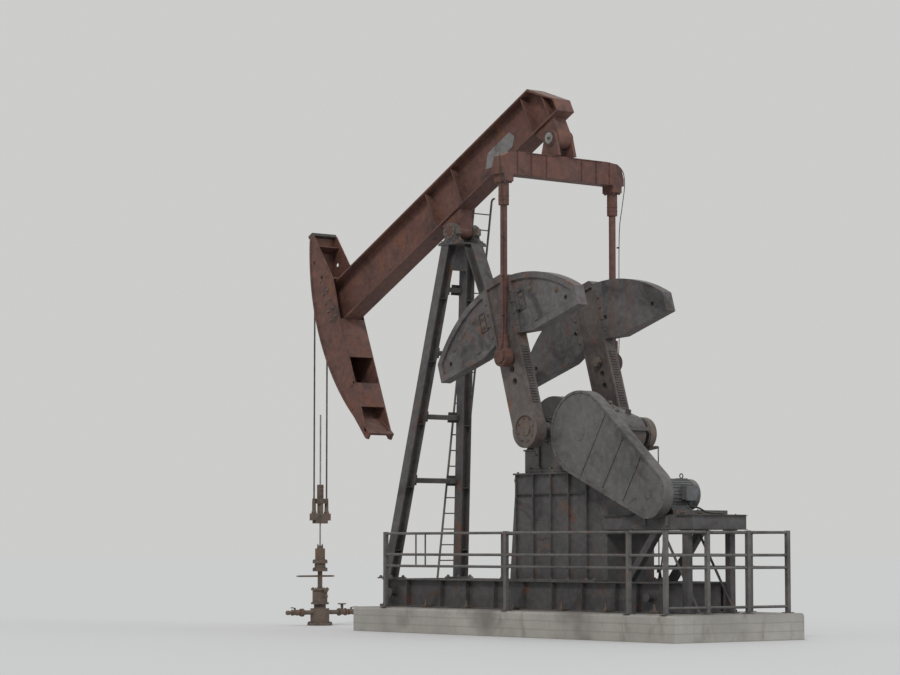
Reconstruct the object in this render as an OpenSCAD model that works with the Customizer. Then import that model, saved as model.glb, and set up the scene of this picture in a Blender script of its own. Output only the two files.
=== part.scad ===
// Beam pumping unit at rest with its horsehead near the bottom of the stroke.
// X runs from the well (-X) to the motor (+X), Y runs from the near side (-Y) to the far side (+Y).
// The origin is on the ground, straight under the saddle bearing.

/* [Linkage] */
// Height of the saddle bearing above the ground
saddle_z = 7520; // [7300:10:7700]
// Distance of the slow shaft behind the saddle bearing
shaft_x = 3210; // [3150:10:3270]
// Height of the slow shaft above the ground
shaft_z = 3640; // [3600:10:3700]
// Crank radius, slow shaft to wrist pin
crank_r = 1360; // [1300:10:1400]
// Lean of the cranks towards the well at rest, from upright
crank_lean = 17.3; // [15:0.1:20]
// Pitman length, wrist pin to tail bearing
pitman_len = 4030; // [3980:10:4080]
// Saddle bearing to tail bearing
tail_r = 3160; // [3120:10:3200]
// Radius of the horsehead's face about the saddle bearing
head_r = 4550; // [4500:10:4700]

/* [Walking beam] */
// Depth of the beam
beam_h = 840; // [760:10:900]
// Underside of the beam above the line of the bearings
beam_drop = 340; // [320:5:380]
// Width of the beam's flanges
beam_w = 400; // [360:10:440]
// Thickness of the beam's flanges
beam_flange_t = 32; // [20:1:40]
// Thickness of the beam's web
beam_web_t = 24; // [16:1:32]
// Reach of the beam beyond the tail bearing
beam_tail_over = 407; // [370:1:440]
// Length of the slope at the beam's tail
beam_slope = 537; // [500:1:600]
// Height of the beam's square end at the tail
beam_end_h = 260; // [200:10:320]
// Front end of the beam, behind the horsehead's face
beam_front_gap = 450; // [350:10:550]
// Thickness of the beam's web stiffeners
stiffener_t = 20; // [12:1:30]

/* [Horsehead] */
// Width of the horsehead over its side plates
head_w = 600; // [560:10:640]
// Thickness of the horsehead's plates
head_plate_t = 16; // [12:1:24]
// Angle of the face's top end above the beam's line
head_up = 30.8; // [30:0.1:31.5]
// Angle of the face's bottom end below the beam's line
head_down = 28; // [26:0.1:28.5]
// Depth of the head from its face's circle at the beam's top flange
head_depth_top = 950; // [850:10:1000]
// Depth of the head from its face's circle at the beam's bottom flange
head_depth_low = 790; // [750:10:850]

/* [Bridle] */
// Diameter of the wire ropes
rope_d = 34; // [28:1:38]
// Distance between the two wire ropes
rope_gap = 310; // [280:10:340]
// Underside of the carrier bar
carrier_z = 2040; // [1950:10:2200]
// Depth of the carrier bar
carrier_h = 200; // [160:10:220]
// Length of the carrier bar
carrier_w = 440; // [420:10:460]
// Outside diameter of the polished rod's liner
rod_d = 32; // [30:1:33]
// Diameter of the rod inside the liner
rod_core_d = 22; // [18:1:23]
// Top of the polished rod
rod_top = 4230; // [4225:5:4300]

/* [Cranks and weights] */
// Inner face of the cranks, from the middle plane
crank_y = 925; // [915:1:940]
// Thickness of the cranks
crank_t = 240; // [200:5:250]
// Half the width of a crank
crank_half_w = 305; // [280:5:320]
// Reach of a crank beyond the slow shaft
crank_tip = 2880; // [2800:10:2900]
// Radius of the weights' outer edge about the slow shaft
weight_r = 2800; // [2700:10:2800]
// Lower edge of the weights, along the crank
weight_low = 1600; // [1580:10:1700]
// Reach of the weights to each side of the crank's line
weight_side = 2000; // [1900:10:2050]
// Thickness of the weights
weight_t = 220; // [180:5:240]
// Diameter of the slow shaft
shaft_d = 300; // [260:10:320]

/* [Equalizer and pitmans] */
// Distance of the pitmans from the middle plane
pitman_y = 1300; // [1290:5:1320]
// Diameter of the pitmans
pitman_d = 125; // [100:5:140]
// Reach of the equalizer beyond the pitmans
equalizer_over = 160; // [130:10:200]
// Top of the equalizer below the tail bearing
equalizer_drop = 340; // [320:10:380]
// Depth of the equalizer
equalizer_h = 420; // [380:10:440]
// Thickness of the equalizer along the machine
equalizer_t = 300; // [260:10:320]

/* [Samson post] */
// Front of the post's legs at the skid, from the saddle bearing
post_foot_x = -1110; // [-1200:10:-1050]
// Distance of the front legs' feet from the middle plane
post_foot_y = 850; // [800:10:880]
// Distance of the front legs' tops from the middle plane
post_top_y = 225; // [215:5:250]
// Width of the post's legs
leg_w = 210; // [180:5:230]
// Width of the rear leg
rear_leg_w = 270; // [240:10:290]
// Where the rear leg stands, behind the saddle bearing
rear_foot_x = 2400; // [2370:5:2405]
// Level of the post's lowest brace above the skid
brace_first = 1845; // [1750:5:1900]
// Distance between the post's braces
brace_step = 1205; // [1150:5:1220]
// Width of the ladder
ladder_w = 420; // [400:10:440]
// Distance of the ladder's rungs
rung_gap = 305; // [295:5:320]
// Middle of the ladder, from the middle plane
ladder_y = 650; // [640:5:680]

/* [Base] */
// Height of the concrete slab
slab_h = 450; // [400:10:500]
// Front edge of the slab
slab_front = -1400; // [-1500:10:-1380]
// Rear edge of the slab
slab_rear = 7400; // [7200:10:7600]
// Half the width of the slab
slab_half = 1500; // [1490:10:1600]
// Depth of the skid's rails
skid_h = 525; // [480:5:560]
// Front end of the skid
skid_front = -1360; // [-1380:10:-1340]
// Rear end of the skid
skid_rear = 6400; // [6300:10:6500]
// Distance of the skid's rails from the middle plane
rail_y = 740; // [735:1:745]
// Width of the rails' flanges
rail_w = 220; // [210:2:224]

/* [Gearbox] */
// Height of the gearbox's seat above the ground
pedestal_top = 2890; // [2850:10:2900]
// Half the width of the pedestal
pedestal_half = 610; // [580:10:620]
// Front of the pedestal at its top
pedestal_front = 2220; // [2150:10:2240]
// Rear of the pedestal
pedestal_rear = 4700; // [4650:10:4750]
// Radius of the gearbox about the slow shaft
gearbox_r = 610; // [590:5:615]
// Half the width of the gearbox
gearbox_half = 500; // [460:10:520]
// Distance of the input shaft behind the slow shaft
input_dx = 1030; // [1000:10:1060]
// Height of the input shaft below the slow shaft
input_drop = 70; // [40:5:100]
// Diameter of the brake drum
drum_d = 580; // [520:10:600]

/* [Motor and belt guard] */
// Distance of the motor's shaft behind the saddle bearing
motor_x = 6050; // [6000:10:6100]
// Diameter of the motor's body
motor_d = 540; // [500:10:560]
// Length of the motor
motor_len = 760; // [700:10:800]
// Underside of the motor, on its slide rails
motor_seat = 2190; // [2170:5:2210]
// Radius of the belt guard over the large sheave
guard_r = 740; // [700:10:760]
// Radius of the belt guard over the motor's sheave
guard_small_r = 430; // [400:10:440]
// Width of the belt guard
guard_w = 220; // [200:5:240]
// Top of the motor's platform
platform_top = 2115; // [2100:5:2130]
// Depth of the platform's frame
platform_h = 255; // [230:5:280]
// Half the width of the platform
platform_half = 620; // [600:5:630]
// Rear end of the platform
platform_rear = 6920; // [6880:10:6960]

/* [Crank guard] */
// Distance of the guard rails from the middle plane
fence_y = 1420; // [1410:5:1440]
// Height of the top rail above the ground
fence_top = 1840; // [1780:10:1900]
// Width of the guard's posts
fence_post = 70; // [60:2:80]
// Diameter of the guard's rails
fence_pipe = 48; // [38:1:54]
// Front end of the crank guard
fence_front = -500; // [-600:10:-400]
// Rear end of the crank guard
fence_rear = 7100; // [7050:10:7200]
// Level of the guard's middle rail
fence_mid = 1430; // [1400:10:1500]
// Level of the guard's lower rail
fence_low = 1220; // [1150:10:1300]

/* [Wellhead] */
// Top of the stuffing box
stuffing_top = 1600; // [1560:10:1640]
// Radius of the wellhead's base flange
well_base_r = 250; // [220:10:280]
// Inside radius of the side outlet
outlet_r = 31; // [28:0.5:34]
// Reach of the side outlet from the well's line
outlet_reach = 460; // [440:10:500]

/* [Hidden] */
$fn = 64;

// Gap between a turning piece and its seat
run_gap = 0.3;
// Gap between pieces that pass each other
pass_gap = 6;
// Overlap used where a cut runs past a face
over = 20;

// Where the linkage stands at rest
wrist_x = shaft_x - crank_r * sin(crank_lean);
wrist_z = shaft_z + crank_r * cos(crank_lean);
wrist_d = norm([wrist_x, wrist_z - saddle_z]);
wrist_a = (tail_r * tail_r - pitman_len * pitman_len + wrist_d * wrist_d) / (2 * wrist_d);
wrist_h = sqrt(tail_r * tail_r - wrist_a * wrist_a);
tail_x = (wrist_a * wrist_x - wrist_h * (wrist_z - saddle_z)) / wrist_d;
tail_z = saddle_z + (wrist_a * (wrist_z - saddle_z) + wrist_h * wrist_x) / wrist_d;
tilt = atan2(tail_z - saddle_z, tail_x);
pitman_lean = atan2(wrist_x - tail_x, tail_z - wrist_z);

// Lengths that follow from the linkage
beam_tail_end = tail_r + beam_tail_over;
beam_top_end = beam_tail_end - beam_slope;
beam_front_end = head_r - beam_front_gap;
head_back_top = head_r - head_depth_top;
head_back_low = head_r - head_depth_low;
equalizer_half = pitman_y + equalizer_over;

// Levels and places that several pieces share
skid_top = slab_h + skid_h;
rail_flange_t = 25;
rail_web_t = 20;
beam_top = beam_drop + beam_h;
cap_t = 40;
cap_z = saddle_z - 220 - cap_t;
input_x = shaft_x + input_dx;
input_z = shaft_z - input_drop;
motor_z = motor_seat + motor_d / 2;
guard_y = pedestal_half + 30;
platform_low = platform_top - platform_h;
diagonal_foot_x = 5200;
rope_r = rope_d / 2;
rope_x = -(head_r + rope_r + 1);
crank_out = crank_y + crank_t;

// Draws a profile of the side view, from y0 to y1
module side(y0, y1) {
    translate([0, y1, 0]) rotate([90, 0, 0]) linear_extrude(height = y1 - y0) children();
}

// Draws a profile of the front view, from x0 to x1
module front(x0, x1) {
    translate([x0, 0, 0]) rotate([90, 0, 90]) linear_extrude(height = x1 - x0) children();
}

// A round bar along Y, from y0 to y1
module bar_y(x, z, r, y0, y1) {
    translate([x, y1, z]) rotate([90, 0, 0]) cylinder(r = r, h = y1 - y0);
}

// A box between two corners
module block(low, high) {
    translate(low) cube(high - low);
}

// Both sides of the middle plane
module both_sides() {
    children();
    mirror([0, 1, 0]) children();
}

// The beam's own frame: X towards the tail along the bearings' line
module on_beam() {
    translate([0, 0, saddle_z]) rotate([0, -tilt, 0]) children();
}

// A crank's own frame: Z out along the crank
module on_crank() {
    translate([shaft_x, 0, shaft_z]) rotate([0, -crank_lean, 0]) children();
}

// The equalizer's own frame, at the tail bearing
module on_tail() {
    translate([tail_x, 0, tail_z]) rotate([0, -pitman_lean, 0]) children();
}

// Base

slab_chamfer = 40;

module concrete_slab() {
    color("gray") front(slab_front, slab_rear) polygon([
        [-slab_half, 0], [slab_half, 0], [slab_half, slab_h - slab_chamfer],
        [slab_half - slab_chamfer, slab_h], [-slab_half + slab_chamfer, slab_h],
        [-slab_half, slab_h - slab_chamfer]
    ]);
}

module rail_profile() {
    translate([rail_y - rail_w / 2, slab_h]) square([rail_w, rail_flange_t]);
    translate([rail_y - rail_w / 2, skid_top - rail_flange_t]) square([rail_w, rail_flange_t]);
    translate([rail_y - rail_web_t / 2, slab_h]) square([rail_web_t, skid_h]);
}

module skid_rail_far() {
    color("dimgray") front(skid_front, skid_rear) rail_profile();
}

module skid_rail_near() {
    mirror([0, 1, 0]) skid_rail_far();
}

// Middles of the crossbeams along the skid
crossbeam_w = 240;
crossbeam_web_t = 20;
crossbeam_at = [
    skid_front + crossbeam_w / 2, 400, pedestal_front + 80, (pedestal_front + pedestal_rear) / 2,
    pedestal_rear - crossbeam_w / 2, diagonal_foot_x, skid_rear - crossbeam_w / 2
];

module skid_crossbeams() {
    half = rail_y - rail_w / 2;
    color("dimgray") for (x = crossbeam_at) {
        block([x - crossbeam_w / 2, -half, slab_h], [x + crossbeam_w / 2, half, slab_h + rail_flange_t]);
        block([x - crossbeam_w / 2, -half, skid_top - rail_flange_t], [x + crossbeam_w / 2, half, skid_top]);
        block([x - crossbeam_web_t / 2, -half, slab_h], [x + crossbeam_web_t / 2, half, skid_top]);
    }
}

// Pedestal and gearbox

pedestal_plate_t = 30;
pedestal_foot_t = 25;
pedestal_batter = 150;
rib_t = 20;
rib_out = 60;

module pedestal() {
    foot_z = skid_top + pedestal_foot_t;
    front_low = pedestal_front - pedestal_batter;
    wall = pedestal_half - rib_out;
    color("slategray") {
        block([front_low - 40, -rail_y - rail_w / 2, skid_top], [pedestal_rear, rail_y + rail_w / 2, foot_z]);
        side(-wall, wall) polygon([
            [front_low, foot_z], [pedestal_rear, foot_z], [pedestal_rear, pedestal_top - pedestal_plate_t],
            [pedestal_front + 20, pedestal_top - pedestal_plate_t]
        ]);
        block([pedestal_front, -pedestal_half, pedestal_top - pedestal_plate_t],
              [pedestal_rear, pedestal_half, pedestal_top]);
        for (x = [pedestal_front + 60 : 480 : pedestal_rear - 60])
            block([x, -pedestal_half, foot_z], [x + rib_t, pedestal_half, pedestal_top - pedestal_plate_t]);
    }
}

gearbox_flange_t = 60;
gearbox_flange_out = 50;
input_r = 330;
gearbox_foot_h = 300;
shaft_cap_r = 250;
shaft_cap_out = 110;
input_cap_r = 150;

flank_in = 1;

// A solid round two shafts, with straight flanks just inside the common tangents
module belt_solid(c1, r1, c2, r2, y0, y1) {
    reach = norm(c2 - c1);
    turn = atan2(c2[1] - c1[1], c2[0] - c1[0]);
    open = acos((r1 - r2) / reach);
    q1 = r1 - flank_in;
    q2 = r2 - flank_in;
    union() {
        bar_y(c1[0], c1[1], r1, y0, y1, $fn = 128);
        bar_y(c2[0], c2[1], r2, y0, y1, $fn = 128);
        side(y0, y1) polygon([
            c1 + q1 * [cos(turn + open), sin(turn + open)], c2 + q2 * [cos(turn + open), sin(turn + open)],
            c2 + q2 * [cos(turn - open), sin(turn - open)], c1 + q1 * [cos(turn - open), sin(turn - open)]
        ]);
    }
}

module gearbox() {
    low = pedestal_top;
    front_x = shaft_x - gearbox_r;
    rear_x = input_x + input_r;
    flange_front = front_x - gearbox_flange_out;
    flange_rear = rear_x + gearbox_flange_out;
    flange_half = gearbox_half + gearbox_flange_out;
    color("slategray") difference() {
        union() {
            belt_solid([shaft_x, shaft_z], gearbox_r, [input_x, input_z], input_r, -gearbox_half, gearbox_half);
            block([front_x, -gearbox_half, low], [rear_x, gearbox_half, low + gearbox_foot_h]);
            block([flange_front, -flange_half, shaft_z - gearbox_flange_t / 2],
                  [flange_rear, flange_half, shaft_z + gearbox_flange_t / 2]);
            block([flange_front, -flange_half, low], [flange_rear, flange_half, low + gearbox_flange_t]);
            bar_y(shaft_x, shaft_z, shaft_cap_r, -gearbox_half - shaft_cap_out, gearbox_half + shaft_cap_out);
            bar_y(input_x, input_z, input_cap_r, -guard_y, gearbox_half + gearbox_flange_out);
        }
        bar_y(shaft_x, shaft_z, shaft_d / 2 + run_gap, -crank_y, crank_y);
    }
}

drum_t = 180;
drum_gap = 60;
drum_y = gearbox_half + gearbox_flange_out + drum_gap;
drum_shaft_r = 60;
drum_shaft_out = 30;
drum_rim_t = 30;
drum_web_t = 40;
drum_hub_t = 50;

module brake_drum() {
    y0 = gearbox_half + gearbox_flange_out;
    color("dimgray") {
        bar_y(input_x, input_z, drum_shaft_r, y0, drum_y + drum_t + drum_shaft_out);
        difference() {
            bar_y(input_x, input_z, drum_d / 2, drum_y, drum_y + drum_t);
            bar_y(input_x, input_z, drum_d / 2 - drum_rim_t, drum_y + drum_web_t, drum_y + drum_t + over);
        }
        bar_y(input_x, input_z, drum_shaft_r + drum_hub_t, drum_y, drum_y + drum_t);
    }
}

// Samson post

post_top_x = -110;
post_rise = cap_z - skid_top;
post_lean = atan2(post_top_x - post_foot_x, post_rise);
post_len = post_rise / cos(post_lean);
foot_plate_t = 25;
foot_plate_half = 138;
leg_flange_t = 20;
leg_web_t = 14;

// Middle of a front leg at a length up the post
function leg_y(t) = post_foot_y - (post_foot_y - post_top_y) * t / post_len;

// The plane of the front legs: Z up along the post, X out of its rear face
module on_post() {
    translate([post_foot_x, 0, skid_top]) rotate([0, post_lean, 0]) children();
}

// A strip of a front leg, between two offsets from its middle
module leg_strip(a, b) {
    t0 = -3 * over;
    t1 = post_len + 3 * over;
    polygon([[leg_y(t0) + a, t0], [leg_y(t0) + b, t0], [leg_y(t1) + b, t1], [leg_y(t1) + a, t1]]);
}

module front_leg_far() {
    half = leg_w / 2;
    color("darkslategray") intersection() {
        on_post() {
            front(-half, half) leg_strip(-half, -half + leg_flange_t);
            front(-half, half) leg_strip(half - leg_flange_t, half);
            front(-leg_web_t / 2, leg_web_t / 2) leg_strip(-half + 1, half - 1);
        }
        block([post_foot_x - leg_w, 0, skid_top + foot_plate_t], [-post_foot_x, slab_half, cap_z]);
    }
    color("darkslategray") block(
        [post_foot_x - leg_w, rail_y - rail_w / 2, skid_top],
        [post_foot_x + leg_w, post_foot_y + leg_w * 0.7, skid_top + foot_plate_t]
    );
}

module front_leg_near() {
    mirror([0, 1, 0]) front_leg_far();
}

brace_h = 90;
brace_t = 90;
brace_levels = [for (i = [0 : 3]) skid_top + brace_first + i * brace_step];

// Length up the post at a level above the ground
function post_at(z) = (z - skid_top) / cos(post_lean);

module front_braces() {
    half = leg_w / 2;
    color("darkslategray") on_post() for (z = brace_levels) {
        t0 = post_at(z) - brace_h / 2;
        t1 = post_at(z) + brace_h / 2;
        front(-half, -half + brace_t) polygon([
            [-leg_y(t0) + half, t0], [leg_y(t0) - half, t0], [leg_y(t1) - half, t1], [-leg_y(t1) + half, t1]
        ]);
    }
}

crown_h = 460;
crown_t = 60;
rear_top_x = 330;
rear_lean = atan2(rear_foot_x - rear_top_x, cap_z - pedestal_top);

module rear_leg() {
    half = rear_leg_w / 2;
    reach = (cap_z - pedestal_top) / cos(rear_lean) + 8 * over;
    color("darkslategray") {
        difference() {
            intersection() {
                translate([rear_foot_x, 0, pedestal_top]) rotate([0, -rear_lean, 0]) {
                    block([-leg_w / 2, -half, -4 * over], [-leg_w / 2 + leg_flange_t, half, reach]);
                    block([leg_w / 2 - leg_flange_t, -half, -4 * over], [leg_w / 2, half, reach]);
                    block([-leg_w / 2 + 1, -leg_web_t / 2, -4 * over], [leg_w / 2 - 1, leg_web_t / 2, reach]);
                }
                block([-rear_foot_x, -half, pedestal_top + foot_plate_t], [2 * rear_foot_x, half, cap_z]);
            }
            on_post() block([-rear_foot_x, -rear_leg_w, 0], [leg_w / 2, rear_leg_w, 2 * post_len]);
        }
        block([rear_foot_x - foot_plate_half, -half - 40, pedestal_top],
              [rear_foot_x + foot_plate_half, half + 40, pedestal_top + foot_plate_t]);
    }
}

cap_x = 300;
cap_y = 340;

module post_head() {
    half = leg_w / 2;
    color("darkslategray") {
        block([-cap_x, -cap_y, cap_z], [cap_x, cap_y, cap_z + cap_t]);
        intersection() {
            on_post() for (x = [-half, half - crown_t]) {
                t0 = post_len - crown_h;
                t1 = post_len + over;
                front(x, x + crown_t) polygon([
                    [-leg_y(t0) + half, t0], [leg_y(t0) - half, t0],
                    [leg_y(t1) - half, t1], [-leg_y(t1) + half, t1]
                ]);
            }
            block([-cap_x - leg_w, -cap_y, skid_top], [cap_x, cap_y, cap_z]);
        }
    }
}

saddle_shaft_r = 90;
saddle_in = 165;
saddle_out = 300;
saddle_round = 160;

module saddle_blocks() {
    color("dimgray") both_sides() side(saddle_in, saddle_out) difference() {
        union() {
            translate([0, saddle_z]) circle(r = saddle_round);
            translate([-saddle_round, cap_z + cap_t]) square([2 * saddle_round, saddle_z - cap_z - cap_t]);
            translate([-cap_x + 40, cap_z + cap_t]) square([2 * cap_x - 80, 50]);
        }
        translate([0, saddle_z]) circle(r = saddle_shaft_r + run_gap);
    }
}

ladder_gap = 90;
ladder_pipe_r = 21;
rung_r = 12;
ladder_top = 8100;
clip_h = 44;
clip_t = 16;

module ladder() {
    x = -leg_w / 2 - ladder_gap;
    half = ladder_w / 2;
    top = post_at(ladder_top);
    first = post_at(skid_top + rung_gap);
    color("goldenrod") {
        for (y = [ladder_y - half, ladder_y + half]) intersection() {
            foot_z = y > rail_y - rail_w / 2 ? skid_top + foot_plate_t : skid_top;
            on_post() translate([x, y, -over * 2]) cylinder(r = ladder_pipe_r, h = top + over * 2);
            block([-cap_x * 8, 0, foot_z], [cap_x * 8, slab_half, saddle_z * 2]);
        }
        on_post() {
            for (t = [first : rung_gap : top]) bar_y(x, t, rung_r, ladder_y - half, ladder_y + half);
            for (z = [brace_levels[0], brace_levels[1]]) {
                t = post_at(z);
                block([x, ladder_y - half, t - clip_h / 2], [x + clip_t, ladder_y + half, t + clip_h / 2]);
                block([x + clip_t - 1, leg_y(t) - clip_h, t - clip_h / 2], [-leg_w / 2, leg_y(t) + clip_h, t + clip_h / 2]);
            }
        }
    }
}

// Motor platform, motor and belt guard

platform_front = pedestal_rear;
channel_t = 60;
deck_t = 12;

module platform_frame() {
    z1 = platform_top - deck_t;
    color("slategray") difference() {
        block([platform_front, -platform_half, platform_low], [platform_rear, platform_half, z1]);
        bays = 3;
        bay = (platform_rear - platform_front - channel_t) / bays;
        for (i = [0 : bays - 1], s = [0, 1])
            translate([platform_front + channel_t + i * bay, s == 0 ? -platform_half + channel_t : channel_t / 2,
                       platform_low - over])
                cube([bay - channel_t, platform_half - channel_t * 1.5, platform_h + 2 * over]);
    }
}

module platform_deck() {
    color("gray") block([platform_front, -platform_half, platform_top - deck_t],
                        [platform_rear, platform_half, platform_top]);
}

diagonal_head_x = 5950;
diagonal_w = 130;
strut_y = 500;
strut_half = 60;
rear_strut_x = 6650;
tie_r = 22;
tie_foot_x = 6850;

module platform_legs() {
    rise = platform_low - skid_top;
    lean = atan2(diagonal_head_x - diagonal_foot_x, rise);
    tie_lean = atan2(tie_foot_x - diagonal_head_x, platform_low - slab_h);
    tie_y = strut_y - strut_half - tie_r;
    color("slategray") both_sides() {
        intersection() {
            translate([diagonal_foot_x, strut_y, skid_top]) rotate([0, lean, 0])
                block([-diagonal_w / 2, -strut_half, -rise], [diagonal_w / 2, strut_half, 2 * rise]);
            block([diagonal_foot_x - rise, 0, skid_top], [tie_foot_x, slab_half, platform_low]);
        }
        block([rear_strut_x - strut_half, strut_y - strut_half, slab_h],
              [rear_strut_x + strut_half, strut_y + strut_half, platform_low]);
        intersection() {
            translate([tie_foot_x, tie_y - pass_gap, slab_h]) rotate([0, -tie_lean, 0])
                translate([0, 0, -rise]) cylinder(r = tie_r, h = 4 * rise);
            block([diagonal_foot_x, 0, slab_h], [slab_rear, slab_half, platform_low]);
        }
    }
}

motor_near = -guard_y + 20;
motor_far = motor_near + motor_len;
motor_fins = 28;
motor_fin = 14;
motor_shaft_r = 40;
slide_w = 90;
slide_in = 120;
foot_h = 30;

module motor() {
    core_r = motor_d / 2 - motor_fin;
    foot_half = motor_d * 0.42;
    color("slategray") {
        difference() {
            union() {
                bar_y(motor_x, motor_z, core_r, motor_near + 60, motor_far - 110);
                for (i = [0 : motor_fins - 1])
                    translate([motor_x, 0, motor_z]) rotate([0, i * 360 / motor_fins, 0])
                        block([-5, motor_near + 110, core_r - 10], [5, motor_far - 130, motor_d / 2]);
                block([motor_x - foot_half, motor_near + slide_in, motor_seat],
                      [motor_x + foot_half, motor_far - slide_in - 40, motor_seat + foot_h]);
                block([motor_x - foot_half + 30, motor_near + slide_in + 20, motor_seat],
                      [motor_x + foot_half - 30, motor_far - slide_in - 60, motor_z - core_r / 2]);
            }
            block([motor_x - motor_d, motor_near, motor_seat - motor_d],
                  [motor_x + motor_d, motor_far, motor_seat]);
        }
        bar_y(motor_x, motor_z, core_r - 30, motor_near, motor_near + 60);
        bar_y(motor_x, motor_z, motor_d / 2 - 4, motor_far - 110, motor_far);
        bar_y(motor_x, motor_z, motor_shaft_r, -guard_y, motor_near);
        block([motor_x - 60, -150, motor_z + core_r - 20], [motor_x + 60, 30, motor_z + core_r + 20]);
        translate([motor_x, -60, motor_z + core_r + 60]) rotate([90, 0, 0])
            rotate_extrude() translate([38, 0]) circle(r = 10);
    }
}

slide_front = motor_x - 720;
slide_rear = motor_x + 430;

module motor_slides() {
    half = platform_half - 10;
    color("dimgray") {
        for (y = [motor_near + slide_in, motor_far - slide_in - 40 - slide_w])
            block([slide_front, y, platform_top], [slide_rear, y + slide_w, motor_seat]);
        for (x = [slide_front, slide_rear - slide_w])
            block([x, -half + guard_y - pedestal_half, platform_top], [x + slide_w, half, motor_seat]);
    }
}

guard_rim = 16;
guard_lip = 45;
guard_behind_input = 60;
guard_below_input = 20;
guard_above_motor = 10;

module belt_guard() {
    big = [input_x + guard_behind_input, input_z - guard_below_input];
    small = [motor_x, motor_z + guard_above_motor];
    outer = -guard_y - guard_w;
    color("slategray") difference() {
        belt_solid(big, guard_r, small, guard_small_r, outer, -guard_y);
        belt_solid(big, guard_r - guard_lip, small, guard_small_r - guard_lip, outer - over, outer + guard_rim);
    }
}

// Crank guard

fence_at = [fence_front, 3000, 6200, fence_rear];
rail_levels = [fence_top - fence_pipe / 2, fence_mid, fence_low];
toe_rail_z = 560;

module fence_post_at(x, y) {
    block([x - fence_post / 2, y - fence_post / 2, slab_h], [x + fence_post / 2, y + fence_post / 2, fence_top]);
}

module guard_posts() {
    color("gray") {
        for (x = fence_at, y = [-fence_y, fence_y]) fence_post_at(x, y);
        for (y = [-fence_y / 3, fence_y / 3]) fence_post_at(fence_rear, y);
    }
}

module guard_rails_far() {
    color("gray") for (i = [0 : 2], z = rail_levels)
        translate([fence_at[i] + fence_post / 2, fence_y, z]) rotate([0, 90, 0])
            cylinder(d = fence_pipe, h = fence_at[i + 1] - fence_at[i] - fence_post);
}

module guard_rails_near() {
    mirror([0, 1, 0]) guard_rails_far();
}

module guard_rails_rear() {
    step = fence_y * 2 / 3;
    color("gray") for (i = [0 : 2], z = concat(rail_levels, [toe_rail_z])) {
        y = -fence_y + i * step;
        bar_y(fence_rear, z, fence_pipe / 2, y + fence_post / 2, y + step - fence_post / 2);
    }
}

// Wellhead

well_bore_r = rod_d / 2 + 2;
well_floor = 60;
body_top = 760;
outlet_z = 260;
head_body_r = 190;
outlet_wall = 14;

// A ring of the wellhead, from z0 to z1, with the rod's way through it
module well_ring(r, z0, z1) {
    translate([rope_x, 0, z0]) cylinder(r = r, h = z1 - z0);
}

module wellhead() {
    color("gray") difference() {
        union() {
            well_ring(well_base_r, 0, 50);
            well_ring(head_body_r, 50, 340);
            well_ring(120, 340, 420);
            well_ring(180, 420, 460);
            well_ring(150, 460, 700);
            well_ring(180, 700, body_top - 20);
            well_ring(60, body_top - 20, body_top);
            bar_y(rope_x, outlet_z, outlet_r + outlet_wall, -outlet_reach, outlet_reach);
            bar_y(rope_x, outlet_z, outlet_r + 50, -outlet_reach, -outlet_reach + 40);
        }
        translate([rope_x, 0, well_floor]) cylinder(r = well_bore_r, h = body_top);
        bar_y(rope_x, outlet_z, outlet_r, -outlet_reach - over, -head_body_r);
    }
}

stuffing_flange = stuffing_top - 520;
arm_z = stuffing_flange - 95;
arm_r = 18;

module stuffing_box() {
    color("gray") difference() {
        union() {
            well_ring(48, body_top, stuffing_flange);
            well_ring(150, stuffing_flange, stuffing_flange + 60);
            well_ring(110, stuffing_flange + 60, stuffing_flange + 160);
            well_ring(150, stuffing_flange + 160, stuffing_flange + 220);
            well_ring(100, stuffing_flange + 220, stuffing_top - 60);
            well_ring(60, stuffing_top - 60, stuffing_top);
            bar_y(rope_x, arm_z, arm_r, -520, 300);
        }
        translate([rope_x, 0, body_top - over]) cylinder(r = well_bore_r, h = stuffing_top);
    }
}

module well_valve() {
    y0 = outlet_reach;
    color("gray") {
        bar_y(rope_x, outlet_z, outlet_r + 45, y0, y0 + 30);
        bar_y(rope_x, outlet_z, outlet_r + 25, y0 + 30, y0 + 150);
        translate([rope_x, y0 + 90, outlet_z]) cylinder(r = 28, h = 150);
        translate([rope_x, y0 + 90, outlet_z + 150]) cylinder(r = 75, h = 16);
    }
}

// Room over the fixed rod for the down stroke
rod_play = 90;

module well_rod() {
    color("silver") translate([rope_x, 0, well_floor]) cylinder(d = rod_core_d, h = rod_top - rod_play - well_floor);
}

// Cranks and counterweights

hub_r = 330;
hub_recess = 35;
wrist_hole_r = 62;
wrist_step = 230;
crank_rib = 46;
crank_recess = 45;

module slow_shaft() {
    color("silver") bar_y(shaft_x, shaft_z, shaft_d / 2, -crank_y, crank_y);
}

// Outline of a crank, across and along
module crank_outline() {
    circle(r = hub_r);
    translate([-crank_half_w, 0]) square([2 * crank_half_w, crank_tip - 90]);
    polygon([
        [-crank_half_w, crank_tip - 90], [crank_half_w, crank_tip - 90],
        [crank_half_w - 90, crank_tip], [-crank_half_w + 90, crank_tip]
    ]);
}

module crank_far() {
    inner = crank_half_w - crank_rib;
    color("firebrick") on_crank() difference() {
        side(crank_y, crank_out) crank_outline();
        bar_y(0, 0, hub_r - 80, crank_out - hub_recess, crank_out + over);
        side(crank_out - crank_recess, crank_out + over)
            translate([-inner, crank_r + 190]) square([2 * inner, crank_tip - crank_r - 190 - 3 * crank_rib]);
        side(crank_y - over, crank_y + crank_recess)
            translate([-inner, hub_r + 80]) square([2 * inner, crank_tip - hub_r - 80 - 3 * crank_rib]);
        for (i = [-2 : 0]) bar_y(0, crank_r + i * wrist_step, wrist_hole_r, crank_y - over, crank_out + over);
    }
}

module crank_near() {
    mirror([0, 1, 0]) crank_far();
}

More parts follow.
